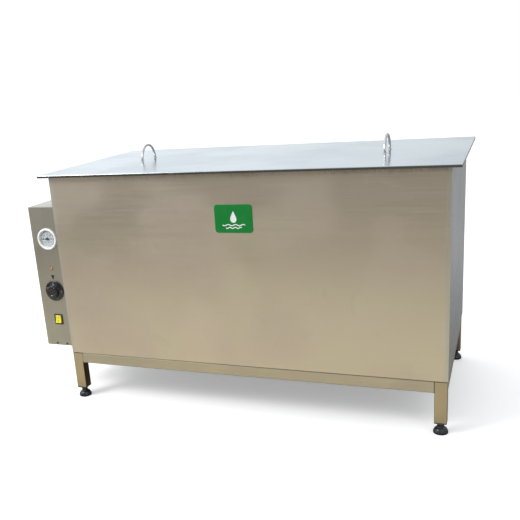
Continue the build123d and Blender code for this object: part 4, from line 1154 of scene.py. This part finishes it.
def on_rocker(x, z, out):
    """A point in the rocker's own directions: across, up its leaning face, and out of it."""
    return rocker_pivot + x[..., None] * right + z[..., None] * lean_z + out[..., None] * lean_out


rocker_face = on_rocker(s_grid * rocker_half_x, t_grid * rocker_half_z, dished - rounding)
back_level = np.full_like(s_grid, -1.2 * mm)
rocker_back = on_rocker(s_grid * rocker_half_x, t_grid * rocker_half_z * 0.93, back_level)


def outline_of(sheet):
    """The four borders of a grid of points, one after another, as one closed line."""
    return np.concatenate([sheet[:-1, 0], sheet[-1, :-1], sheet[:0:-1, -1], sheet[0, :0:-1]])


rocker_wall = np.stack([outline_of(rocker_face), outline_of(rocker_back)])
rocker_surface = joined(grid(rocker_face), grid(rocker_back), grid(rocker_wall, wrap_columns=True))
add_piece(
    "rocker", rocker_surface, "rocker", switch_yellow, ["switch_rocker"], sharp_over=50
)

# %% The marks on the rocker
mark_out = rocker_middle + rocker_dish * 0.5**dish_power + 0.05 * mm
bar_mark = strokes(
    on_rocker(np.array([0.0]), np.array([3.6 * mm]), np.array([mark_out])),
    on_rocker(np.array([0.0]), np.array([7.4 * mm]), np.array([mark_out])), 0.9 * mm, lean_out, 0.2 * mm,
)
ring_angle = np.linspace(0, 2 * math.pi, 25)
ring_size = 1.9 * mm
ring_z = -5.5 * mm + ring_size * np.sin(ring_angle)
ring_points = on_rocker(ring_size * np.cos(ring_angle), ring_z, np.full(25, mark_out))
ring_mark = strokes(ring_points[:-1], ring_points[1:], 0.7 * mm, lean_out, 0.2 * mm)
add_piece("rocker_marks", joined(bar_mark, ring_mark), "rocker", dark_print)

# %% [markdown]
# ## Screws
#
# The box's bottom is held by small pan-head screws with a cross recess. The head is a dome on a ring grid,
# and the cross is cut by pushing in the points near either of two lines through the middle.


# %% Pan-head screws
def screw_head(centre, out, radius, height, turn):
    """Rings from the middle outwards: height falls as a dome does, less a cross-shaped recess."""
    share = np.concatenate([np.linspace(0, 0.94, 18), [1.0, 1.0]])[:, None]
    angle = np.linspace(0, 2 * math.pi, 48, endpoint=False)[None, :] + turn
    x, y = share * np.cos(angle) * radius, share * np.sin(angle) * radius
    level = height * (1 - 0.55 * share**2) + 0 * angle
    near_line = np.minimum(np.abs(x), np.abs(y)) < 0.14 * radius
    in_cross = near_line & (np.hypot(x, y) < 0.62 * radius)
    level = level - np.where(in_cross, 0.45 * height, 0)
    level[-1] = -0.1 * mm
    across = np.cross(out, up)
    upwards = np.cross(across, out)
    points = centre + x[..., None] * across + y[..., None] * upwards + level[..., None] * np.asarray(out)
    return grid(points, wrap_columns=True)


screw_low, screw_high = corners_of("control_box_screws")
head_radius = 3.5 * mm
screw_xs = (screw_low[0] + head_radius, screw_high[0] - head_radius)
screw_z = (screw_low[2] + screw_high[2]) / 2
heads = []
for x in screw_xs:
    heads.append(screw_head((x, panel_low[1], screw_z), front, head_radius, 2.2 * mm, 0.4 + 3 * x))
    heads.append(screw_head((x, panel_high[1], screw_z), rear, head_radius, 2.2 * mm, 1.1 + 5 * x))
add_piece("box_screws", joined(*heads), "tank", dark_screw_steel, ["control_box_screws"])

# %% [markdown]
# ## The green plate
#
# A thin green plate with rounded corners sits on the front panel. It carries a plain sign, a white drop
# over two ripples, and no lettering. The plate is the same tray as the lid: a grid with a rounded edge.

# %% The plate
badge_low, badge_high = corners_of("badge_plate")
badge_centre = (badge_low + badge_high) / 2
badge_half = (badge_high - badge_low) / 2
badge_corner = 8.0 * mm
badge_depth = badge_high[1] - badge_low[1]
plate_xs = np.linspace(-badge_half[0] + badge_corner, badge_half[0] - badge_corner, 12)
plate_ys = np.linspace(-badge_half[2] + badge_corner, badge_half[2] - badge_corner, 9)
plate_edge = round_corners(
    [(0, badge_depth), (badge_corner, badge_depth), (badge_corner, 0), (0, 0)], [0.6 * mm, 0], steps=4
)
plate_points, plate_faces = tray(plate_xs, plate_ys, plate_edge, badge_depth, 0.0, lambda x, y: 0 * x, 8)


def on_front(points, centre_x, surface_y, centre_z):
    """Lays points drawn as (across, up, out) on the front panel."""
    return np.column_stack([centre_x + points[:, 0], surface_y - points[:, 2], centre_z + points[:, 1]])


badge_at = (badge_centre[0], badge_high[1], badge_centre[2])
plate_surface = (on_front(plate_points, *badge_at), plate_faces)
add_piece("badge", plate_surface, "tank", badge_green, ["badge_plate"])


# %% The sign on the plate
def ribbon(line, width, level, thickness):
    """A flat band of even width along a line drawn on the plate, with a top, a bottom and ends."""
    along = np.gradient(line, axis=0)
    along /= np.linalg.norm(along, axis=1, keepdims=True)
    side = np.column_stack([-along[:, 1], along[:, 0]]) * width / 2
    edges = [(line - side, level), (line + side, level), (line + side, level + thickness)]
    edges.append((line - side, level + thickness))
    points = np.stack([np.column_stack([flat, np.full(len(flat), z)]) for flat, z in edges], axis=1)
    middle = [np.repeat(points[[end]].mean(axis=1, keepdims=True), 4, axis=1) for end in (0, -1)]
    return grid(np.concatenate([middle[0], points, middle[1]]), wrap_columns=True)


drop_turn = np.linspace(0, 2 * math.pi, 49)[:-1]
drop_half_width, drop_half_height, drop_raised = 11.5 * mm, 15.0 * mm, 5.0 * mm
drop_wide = drop_half_width * np.sin(drop_turn) * np.sin(drop_turn / 2) ** 1.5
drop_high = drop_half_height * np.cos(drop_turn) + drop_raised
drop_middle = np.array([[0.0, 1.0 * mm]])
drop_rim = np.column_stack([drop_wide, drop_high])
drop_rings = np.stack([drop_middle + share * (drop_rim - drop_middle) for share in (0, 0.5, 1.0, 1.0)])
drop_levels = np.array([0.3, 0.3, 0.3, -0.1])[:, None, None] * mm + badge_depth
drop = grid(
    np.concatenate([drop_rings, np.broadcast_to(drop_levels, drop_rings.shape[:2] + (1,))], axis=-1),
    wrap_columns=True,
)
wave_x = np.linspace(-30 * mm, 30 * mm, 61)
wave_height, wave_length = 1.6 * mm, 20 * mm
ripples = [
    ribbon(np.column_stack([wave_x * share, y + wave_height * np.sin(wave_x * 2 * math.pi / wave_length)]),
           2.4 * mm, badge_depth - 0.1 * mm, 0.4 * mm)
    for share, y in ((1.0, -16 * mm), (0.7, -23 * mm))
]
sign_points, sign_faces = joined(drop, *ripples)
add_piece("badge_sign", (on_front(sign_points, *badge_at), sign_faces), "tank", white_print)

# %% [markdown]
# ## Feet, studs and nuts
#
# A levelling foot is a black moulded dome with a steel stud that screws into the leg. The thread is real:
# the stud's radius depends on height and angle together, which makes the ridge climb as it goes round. The
# lock nut's radius follows the flat of a hexagon, cut back by a cone at both faces.


# %% Threads and hexagons
def hexagon_share(sides):
    """How far the outline of a hexagon is from its middle at each angle, for a flat at distance 1."""
    angle = np.linspace(0, 2 * math.pi, sides, endpoint=False)
    from_flat = (angle + math.pi / 6) % (math.pi / 3) - math.pi / 6
    return 1.0 / np.cos(from_flat)


def hexagon_nut(centre, axis, across_flats, low, high, bore, sides=72):
    """Bore, lower face, chamfer, flats, chamfer, upper face: each ring's reach is limited by the cone."""
    half = across_flats / 2
    hexagon = half * hexagon_share(sides)
    chamfer = 0.12 * across_flats
    inner_low = np.full(sides, bore)
    face_share, rim_share = 0.98, 1.16
    face = np.full(sides, half * face_share)
    steps = np.linspace(0, 1, 5)
    rise = [face + (half * rim_share - half * face_share) * share for share in steps]
    cuts = [np.minimum(ring, hexagon) for ring in rise]
    rings = np.array([inner_low, *cuts, *cuts[::-1], inner_low])
    levels = [low, *(low + chamfer * steps * 0.6), *(high - chamfer * steps[::-1] * 0.6), high]
    profile = np.column_stack([np.ones(len(rings)), levels])
    return turned(profile, centre, axis, sides, rings, closed=True)


def threaded_rod(centre, axis, radius, low, high, pitch, depth, sides=24):
    """Radius falls from crest to root and back once for each pitch climbed, and once round the turn."""
    levels = np.arange(low, high, pitch / 6)
    angle = np.linspace(0, 2 * math.pi, sides, endpoint=False)
    phase = (levels[:, None] / pitch - angle[None, :] / (2 * math.pi)) % 1.0
    reach = radius - depth * np.abs(2 * phase - 1)
    levels = np.concatenate([[low, low], levels[1:-1], [high, high]])
    ends = np.full(sides, radius - depth)
    reach = np.concatenate([[0 * ends, ends], reach[1:-1], [ends, 0 * ends]])
    return turned(np.column_stack([np.ones(len(levels)), levels]), centre, axis, sides, reach)


# %% The four feet and their lock nuts
foot_profile_mm = [(0, 0), (18, 0), (18, 5.2), (14.8, 12.4), (9.3, 16.2), (8.5, 18), (8.5, 22.7), (0, 22.7)]
foot_radii_mm = [1.5, 5.0, 9.0, 1.5, 1.5, 0.8]
foot_profile = round_corners(np.array(foot_profile_mm) * mm, [r * mm for r in foot_radii_mm], steps=7)
stud_radius, stud_starts, stud_pitch, stud_depth = 5.0 * mm, 22 * mm, 1.5 * mm, 0.7 * mm
nut_width, nut_bore = 17 * mm, 5.05 * mm
nut_low, nut_high = corners_of("foot_lock_nuts")
lock_nuts = []
for corner in ("front_left", "front_right", "rear_left", "rear_right"):
    low, high = corners_of("levelling_foot_" + corner)
    centre = middle_at(low, high, 0.0)
    add_piece(
        f"foot_{corner}", turned(foot_profile, centre, up, 56), f"foot_{corner}",
        foot_plastic, ["levelling_foot_" + corner],
    )
    stud = threaded_rod(centre, up, stud_radius, stud_starts, high[2] - 0.2 * mm, stud_pitch, stud_depth)
    add_piece(f"stud_{corner}", stud, f"foot_{corner}", zinc_steel)
    lock_nuts.append(hexagon_nut(centre, up, nut_width, nut_low[2], nut_high[2], nut_bore))
add_piece("lock_nuts", joined(*lock_nuts), "tank", dark_screw_steel, ["foot_lock_nuts"])

# %% [markdown]
# ## Welds on the frame and in the vat
#
# The rails are welded between the legs. Most outer faces are ground flush, so beads stay on the rails'
# undersides and inner faces, and upright where the long rails stand back from the legs. In the vat a fine
# bead runs down, along and up where each end plate meets the folded wrap.

# %% Frame welds
frame_welds = []
rail_names = {"rail_front": (0, right, rear), "rail_rear": (0, right, front)}
rail_names.update({"rail_left": (1, rear, right), "rail_right": (1, rear, left)})
weld_bead = 1.6 * mm
for rail, (along_axis, along, inward) in rail_names.items():
    low, high = corners_of(rail)
    across_axis = 1 - along_axis
    inner = high[across_axis] if inward[across_axis] > 0 else low[across_axis]
    outer = low[across_axis] if inward[across_axis] > 0 else high[across_axis]
    for end in (low[along_axis], high[along_axis]):
        corners = np.zeros((3, 3))
        corners[:, along_axis] = end
        corners[:, across_axis] = [outer + 2 * mm * np.sign(inner - outer), inner, inner]
        corners[:, 2] = [low[2], low[2], high[2] - 1 * mm]
        frame_welds.append(weld_line(round_corners(corners, [2.5 * mm]), along, weld_bead))
add_piece("frame_welds", joined(*frame_welds), "tank", weld_steel)

# %% The upright joints beside the recessed long rails, the right-hand ones darkened with painted shadow
joint_seams = {"left": [], "right": []}
for rail, outward in (("rail_front", front), ("rail_rear", rear)):
    low, high = corners_of(rail)
    y = low[1] if outward[1] < 0 else high[1]
    for x, side_name in ((low[0], "left"), (high[0], "right")):
        ends = [(x, y, low[2] + 0.5 * mm), (x, y, high[2] - 0.5 * mm)]
        joint_seams[side_name].append(weld_line(ends, right, 1.5 * mm, 5.0 * mm))
add_piece("joint_seams_left", joined(*joint_seams["left"]), "tank", weld_steel)
# The right-hand seams take the near-black steel: painted shadow in the gap between rail and leg.
add_piece("joint_seams_right", joined(*joint_seams["right"]), "tank", painted_gap_shadow_steel)

# %% Vat welds
vat_low, vat_high = corners_of("vat_wrap")
vat_sheet = 1.5 * mm
vat_bend = 12.0 * mm
vat_welds = []
for x in (vat_low[0], vat_high[0]):
    corners = [
        (x, vat_low[1] + vat_sheet, vat_high[2] - 1 * mm),
        (x, vat_low[1] + vat_sheet, vat_low[2] + vat_sheet),
        (x, vat_high[1] - vat_sheet, vat_low[2] + vat_sheet),
        (x, vat_high[1] - vat_sheet, vat_high[2] - 1 * mm),
    ]
    vat_welds.append(weld_line(round_corners(corners, [vat_bend, vat_bend]), right, 1.0 * mm, 4.0 * mm))
add_piece("vat_welds", joined(*vat_welds), "tank", weld_steel)

# %% [markdown]
# ## Heating elements and pockets
#
# Two tubular elements lie in loops low in the vat. Each is a rod carried round rounded corners, held in the
# end wall by a brass bush with a collar. Above them two closed pockets reach in for the temperature bulbs.

# %% The elements
element_radius = 4.25 * mm
element_bend = 20.0 * mm
wall_x = vat_low[0]
loops = {
    "outer": {"far_gap": 50 * mm, "near_gap": 38 * mm, "wall_gap": 40 * mm, "back_gap": 180 * mm},
    "inner": {"far_gap": 130 * mm, "near_gap": 78 * mm, "wall_gap": 120 * mm, "back_gap": 50 * mm},
}
vat_front_y, vat_rear_y = vat_low[1] + vat_sheet, vat_high[1] - vat_sheet
bush_profile = round_corners(
    [
        (0, -15.5 * mm), (7 * mm, -15.5 * mm), (7 * mm, 0), (11 * mm, 0), (11 * mm, 3 * mm),
        (6.5 * mm, 3 * mm), (5.2 * mm, 6.0 * mm), (0, 6.0 * mm),
    ],
    [0.5 * mm, 0, 0.4 * mm, 0.8 * mm, 0.5 * mm, 0.4 * mm],
)
for loop_name, sizes in loops.items():
    low, high = corners_of("heating_element_" + loop_name)
    z = high[2] - 11 * mm
    near_y, far_y = vat_front_y + sizes["wall_gap"], vat_rear_y - sizes["wall_gap"]
    return_y = near_y + sizes["back_gap"]
    corners = [
        (low[0], near_y, z),
        (vat_high[0] - sizes["far_gap"], near_y, z),
        (vat_high[0] - sizes["far_gap"], far_y, z),
        (wall_x + sizes["near_gap"], far_y, z),
        (wall_x + sizes["near_gap"], return_y, z),
        (low[0], return_y, z),
    ]
    element_path = round_corners(corners, [element_bend] * 4, steps=12)
    add_piece(
        f"element_{loop_name}", rod_along(element_path, element_radius, up, sides=18), "tank",
        sheath_steel, ["heating_element_" + loop_name],
    )
    bushes = [turned(bush_profile, (wall_x, y, z), right, 40) for y in (near_y, return_y)]
    add_piece(f"element_bushes_{loop_name}", joined(*bushes), "tank", brass)
finish_node("element_nuts", brass)

# %% The pockets
pocket_low, pocket_high = corners_of("probe_pockets")
pocket_radius = 5.0 * mm
pocket_z = (pocket_low[2] + pocket_high[2]) / 2
pocket_length = pocket_high[0] - pocket_low[0]
pocket_profile = round_corners(
    [(0, 0), (pocket_radius, 0), (pocket_radius, pocket_length), (0, pocket_length)], [0.3 * mm, 3.5 * mm], 8
)
pockets = []
for y in (pocket_low[1] + pocket_radius, pocket_high[1] - pocket_radius):
    pockets.append(turned(pocket_profile, (pocket_low[0], y, pocket_z), right, 32))
    pockets.append(weld_ring((wall_x, y, pocket_z), right, pocket_radius + 0.3 * mm, 1.0 * mm, 14))
add_piece("bulb_pockets", joined(*pockets), "tank", vat_steel, ["probe_pockets"])

# %% [markdown]
# ## The drain valve
#
# At the back a pipe leaves the vat near its floor and ends in a ball valve. The body is cast and plated:
# round in the middle and hexagonal at both ends, for a wrench, with a threaded outlet. A gland nut and a
# spindle stand on top, and a flat lever with a dipped grip turns a quarter turn.

# %% The valve's body
valve_low, valve_high = corners_of("drain_valve_body")
pipe_low, pipe_high = corners_of("drain_pipe")
valve_centre = np.array([(valve_low[0] + valve_high[0]) / 2, valve_low[1], (pipe_low[2] + pipe_high[2]) / 2])
valve_length = valve_high[1] - valve_low[1]
valve_radius = (valve_high[0] - valve_low[0]) / 2
pipe_radius = (pipe_high[0] - pipe_low[0]) / 2
outlet_radius = 15.1 * mm
port_radius = 12.5 * mm
wrench_radius = 21.2 * mm
neck_radius = 19.6 * mm
thread_depth = 16 * mm
body_line = round_corners(
    [
        (port_radius, 15 * mm),
        (pipe_radius, 15 * mm),
        (pipe_radius, 0),
        (wrench_radius, 0),
        (wrench_radius, 16 * mm),
        (neck_radius, 19 * mm),
        (valve_radius, 27 * mm),
        (valve_radius, 47 * mm),
        (neck_radius, 54 * mm),
        (wrench_radius, 57 * mm),
        (wrench_radius, valve_length),
        (outlet_radius, valve_length),
        (outlet_radius, valve_length - thread_depth),
        (port_radius, valve_length - thread_depth),
    ],
    [0, 0, 1.2 * mm, 0.8 * mm, 2 * mm, 6 * mm, 6 * mm, 2 * mm, 0.8 * mm, 1.2 * mm, 0.6 * mm, 0],
)
valve_sides = 96
hexagon = np.minimum(hexagon_share(valve_sides), 1.13)
is_hexagon = (body_line[:, 0] > 20.2 * mm) & ((body_line[:, 1] < 18 * mm) | (body_line[:, 1] > 55 * mm))
body_share = np.where(is_hexagon[:, None], hexagon[None, :], 1.0)
valve_body = turned(body_line, valve_centre, rear, valve_sides, body_share, closed=True)
stem_low, stem_high = corners_of("drain_valve_stem")
stem_centre = middle_at(stem_low, stem_high, valve_centre[2])
boss_top = valve_high[2] - valve_centre[2]
boss_end = boss_top - 5 * mm
boss_profile = round_corners(
    [(0, 12 * mm), (11 * mm, 12 * mm), (9 * mm, 24 * mm), (9 * mm, boss_end), (0, boss_end)],
    [0, 3 * mm, 0.5 * mm],
)
gland_nut = hexagon_nut(stem_centre, up, 16.5 * mm, boss_top - 6 * mm, boss_top - 0.1 * mm, 5.1 * mm)
boss = turned(boss_profile, stem_centre, up, 48)
valve_surface = joined(valve_body, boss, gland_nut)
add_piece("valve_body", valve_surface, "tank", valve_nickel, ["drain_valve_body"])
pipe_end = (valve_centre[0], valve_low[1] + 0.3 * mm, valve_centre[2])
pipe_weld = weld_ring(pipe_end, rear, pipe_radius + 0.6 * mm, 1.6 * mm, 30, 90)
add_piece("pipe_weld", pipe_weld, "tank", weld_steel)

# %% The spindle and its nut
stem_top = stem_high[2] - valve_centre[2]
lever_low, lever_high = corners_of("drain_lever")
lever_top = lever_high[2] - valve_centre[2]
stem = threaded_rod(stem_centre, up, 4.9 * mm, stem_low[2] - valve_centre[2], stem_top, 1.25 * mm, 0.5 * mm)
stem_nut = hexagon_nut(stem_centre, up, 15 * mm, lever_top, stem_top - 0.6 * mm, 4.6 * mm)
add_piece(
    "valve_spindle", joined(stem, stem_nut), "drain_handle", zinc_steel, ["drain_valve_stem"]
)

# %% The lever's grip
grip_low, grip_high = corners_of("drain_lever_grip")
grip_middle = (grip_low + grip_high) / 2
grip_half_y, grip_half_z = (grip_high[1] - grip_low[1]) / 2, (grip_high[2] - grip_low[2]) / 2
grip_length = grip_high[0] - grip_low[0]
along_grip = np.concatenate([[0, 0.4, 1.6, 3.6, 6.5], np.linspace(10, grip_length / mm - 4, 30), [0, 0]]) * mm
along_grip[-2:] = grip_length - 1.2 * mm, grip_length
from_tip = np.clip(along_grip / (7 * mm), 0, 1)
grip_share = np.sqrt(1 - (1 - from_tip) ** 2)
grip_share[0] = 0.0
grip_share[-1] = 0.93
ripple = 1 + 0.02 * np.sin(along_grip / mm * 2 * math.pi / 9) * (along_grip < grip_length - 8 * mm)
angle = np.linspace(0, 2 * math.pi, 40, endpoint=False)
cos_power = np.sign(np.cos(angle)) * np.abs(np.cos(angle)) ** 0.45
sin_power = np.sign(np.sin(angle)) * np.abs(np.sin(angle)) ** 0.45
reach = grip_share * ripple / ripple.max()
grip_points = np.stack(
    [
        np.broadcast_to((grip_low[0] + along_grip)[:, None], (len(along_grip), 40)),
        grip_middle[1] + reach[:, None] * cos_power[None] * grip_half_y,
        grip_middle[2] + reach[:, None] * sin_power[None] * grip_half_z,
    ],
    axis=-1,
)
grip_end = np.broadcast_to(grip_points[-1].mean(axis=0), (1, 40, 3))
grip_surface = grid(np.concatenate([grip_points, grip_end]), wrap_columns=True)
add_piece("lever_grip", grip_surface, "drain_handle", grip_vinyl, ["drain_lever_grip"])

# %% [markdown]
# ## The cable gland
#
# Under the control box the power cable's gland is ready for its cable: a hexagon against the sheet and a
# ribbed cap nut below it, both black moulded plastic.

# %% The gland
gland_low, gland_high = corners_of("cable_gland")
gland_centre = middle_at(gland_low, gland_high, panel_low[2])
gland_drop = panel_low[2] - gland_low[2]
gland_bore = 5.0 * mm
cap_profile = round_corners(
    [
        (gland_bore, -gland_drop),
        (7.6 * mm, -gland_drop),
        (9.5 * mm, -gland_drop + 4 * mm),
        (9.5 * mm, -5 * mm),
        (gland_bore, -5 * mm),
    ],
    [1.5 * mm, 2 * mm, 0.5 * mm],
)
rib_angle = np.linspace(0, 2 * math.pi, 120, endpoint=False)
is_ribbed = (cap_profile[:, 0] > 8.8 * mm)[:, None]
ribs = np.where(is_ribbed, 1 - 0.045 * (np.cos(20 * rib_angle)[None, :] > 0.3), 1.0)
cap = turned(cap_profile, gland_centre, up, 120, ribs, closed=True)
collar = hexagon_nut(gland_centre, up, 20 * mm, -5 * mm, -0.05 * mm, gland_bore)
thread_top = gland_high[2] - panel_low[2]
sleeve = [(gland_bore, 0), (8 * mm, 0), (8 * mm, thread_top), (gland_bore, thread_top)]
thread = turned(sleeve, gland_centre, up, 40, closed=True)
inner_nut = hexagon_nut(gland_centre, up, 20 * mm, 1.2 * mm, 5.2 * mm, 7.9 * mm)
add_piece(
    "gland", joined(cap, collar, thread, inner_nut), "tank", black_plastic, ["cable_gland"]
)

# %% [markdown]
# ## Floor, sky and lamps
#
# Steel shows what is round it. The floor looks pale to the camera, and what the steel sees of it is warmer
# in front of the tank and cooler behind, as a workshop floor is, with a painted shadow under the tank and
# painted shade towards the left. The sky is a soft pale light, bluer overhead and brighter to the left. Two
# large soft lamps give the black and white parts their highlights.


# %% The floor
def stage_floor():
    """A pale floor; rays that come from the object see it warm in front, dark far off, cool behind, with a
    painted shadow under the tank and painted shade towards the left."""
    half = 12.0
    floor_points = np.array([[-half, -half, 0], [half, -half, 0], [half, half, 0], [-half, half, 0]])
    mesh = bpy.data.meshes.new("floor")
    mesh.from_pydata(floor_points.tolist(), [], [[0, 1, 2, 3]])
    floor = bpy.data.objects.new("floor", mesh)
    scene.collection.objects.link(floor)
    material = bpy.data.materials.new("floor")
    material.use_nodes = True
    nodes, links = material.node_tree.nodes, material.node_tree.links
    seen = nodes["Principled BSDF"]
    seen.inputs["Base Color"].default_value = (0.86, 0.86, 0.86, 1)
    seen.inputs["Roughness"].default_value = 0.9
    seen.inputs["Specular IOR Level"].default_value = 0.1
    seen.inputs["Emission Color"].default_value = (1, 1, 1, 1)
    seen.inputs["Emission Strength"].default_value = 0.30
    mirrored = nodes.new("ShaderNodeBsdfDiffuse")
    ramp = nodes.new("ShaderNodeValToRGB")
    stops = [
        (0.00, (0.145, 0.13, 0.11)), (0.25, (0.285, 0.26, 0.215)), (0.45, (0.525, 0.50, 0.43)),
        (0.60, (0.60, 0.57, 0.46)), (0.68, (0.42, 0.40, 0.35)), (0.76, (0.25, 0.25, 0.25)),
        (1.00, (0.345, 0.345, 0.355)),
    ]
    while len(ramp.color_ramp.elements) < len(stops):
        ramp.color_ramp.elements.new(0.5)
    for element, (position, colour) in zip(ramp.color_ramp.elements, stops):
        element.position = position
        element.color = (*colour, 1)
    wires = Wires(material.node_tree)
    split = nodes.new("ShaderNodeSeparateXYZ")
    links.new(wires.place, split.inputs[0])
    links.new(wires.straight(split.outputs["Y"], -3.2, 1.4), ramp.inputs["Fac"])
    # A painted shadow: the floor that the steel sees is near-black inside the tank's footprint.
    across = wires.maths("ABSOLUTE", wires.maths("SUBTRACT", split.outputs["X"], 0.04), 0)
    deep = wires.maths("ABSOLUTE", wires.maths("ADD", split.outputs["Y"], 0.03), 0)
    beyond_painted_shadow = wires.maths("MAXIMUM", wires.band(across, 0.46, 0.66), wires.band(deep, 0.20, 0.36))
    floor_with_painted_shadow = wires.blend(beyond_painted_shadow, (0.10, 0.085, 0.065, 1), ramp.outputs["Color"])
    # Painted shade: the floor that the steel sees darkens towards the left.
    painted_left_shade = wires.band(split.outputs["X"], -1.9, 0.3, 0.62, 1.0)
    links.new(wires.scaled(floor_with_painted_shadow, painted_left_shade), mirrored.inputs["Color"])
    rays = nodes.new("ShaderNodeLightPath")
    either = nodes.new("ShaderNodeMixShader")
    links.new(rays.outputs["Is Camera Ray"], either.inputs["Fac"])
    links.new(mirrored.outputs[0], either.inputs[1])
    links.new(seen.outputs[0], either.inputs[2])
    links.new(either.outputs[0], nodes["Material Output"].inputs["Surface"])
    mesh.materials.append(material)
    floor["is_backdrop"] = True


stage_floor()


# %% The sky
def sky():
    """White to the camera. To the steel: pale at the horizon, bluer overhead, brighter towards the left."""
    world = bpy.data.worlds.new("sky")
    scene.world = world
    world.use_nodes = True
    nodes, links = world.node_tree.nodes, world.node_tree.links
    wires = Wires(world.node_tree)
    place = nodes.new("ShaderNodeTexCoord")
    split = nodes.new("ShaderNodeSeparateXYZ")
    links.new(place.outputs["Generated"], split.inputs[0])
    height = wires.straight(split.outputs["Z"], 0.0, 0.9)
    pale = wires.blend(height, (0.80, 0.86, 0.89, 1), (1.10, 1.12, 1.15, 1))
    sideways = wires.straight(split.outputs["X"], -0.9, 0.3, 1.52, 0.80)
    facing = wires.straight(split.outputs["Y"], -0.95, -0.35, 0.5, 1.0)
    mirrored = wires.scaled(pale, wires.maths("MULTIPLY", sideways, facing))
    rays = nodes.new("ShaderNodeLightPath")
    seen = wires.blend(rays.outputs["Is Camera Ray"], mirrored, (1, 1, 1, 1))
    links.new(seen, nodes["Background"].inputs["Color"])
    nodes["Background"].inputs["Strength"].default_value = 1.0


sky()


# %% The lamps
def soft_lamp(name, place, target, size, power, colour):
    """A square lamp that faces its target."""
    data = bpy.data.lights.new(name, "AREA")
    data.size = size
    data.energy = power
    data.color = colour
    lamp = bpy.data.objects.new(name, data)
    lamp.location = place
    aim = Matrix.Translation(place).to_translation() - Matrix.Translation(target).to_translation()
    lamp.rotation_euler = aim.to_track_quat("Z", "Y").to_euler()
    scene.collection.objects.link(lamp)


soft_lamp("key_lamp", (-1.9, -1.9, 2.3), (-0.2, 0, 0.4), 1.2, 60, (1.0, 0.98, 0.96))
soft_lamp("fill_lamp", (2.2, -2.4, 1.9), (0.2, 0, 0.4), 1.4, 12, (0.95, 0.98, 1.0))
print("lamps:", [lamp.name for lamp in bpy.data.lights])

# %% Sizes
looks_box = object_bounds()
sizes = {"cad": [list(corner) for corner in frame_box], "visual": [list(corner) for corner in looks_box]}
print("frame box", sizes["cad"])
print("looks box", sizes["visual"])
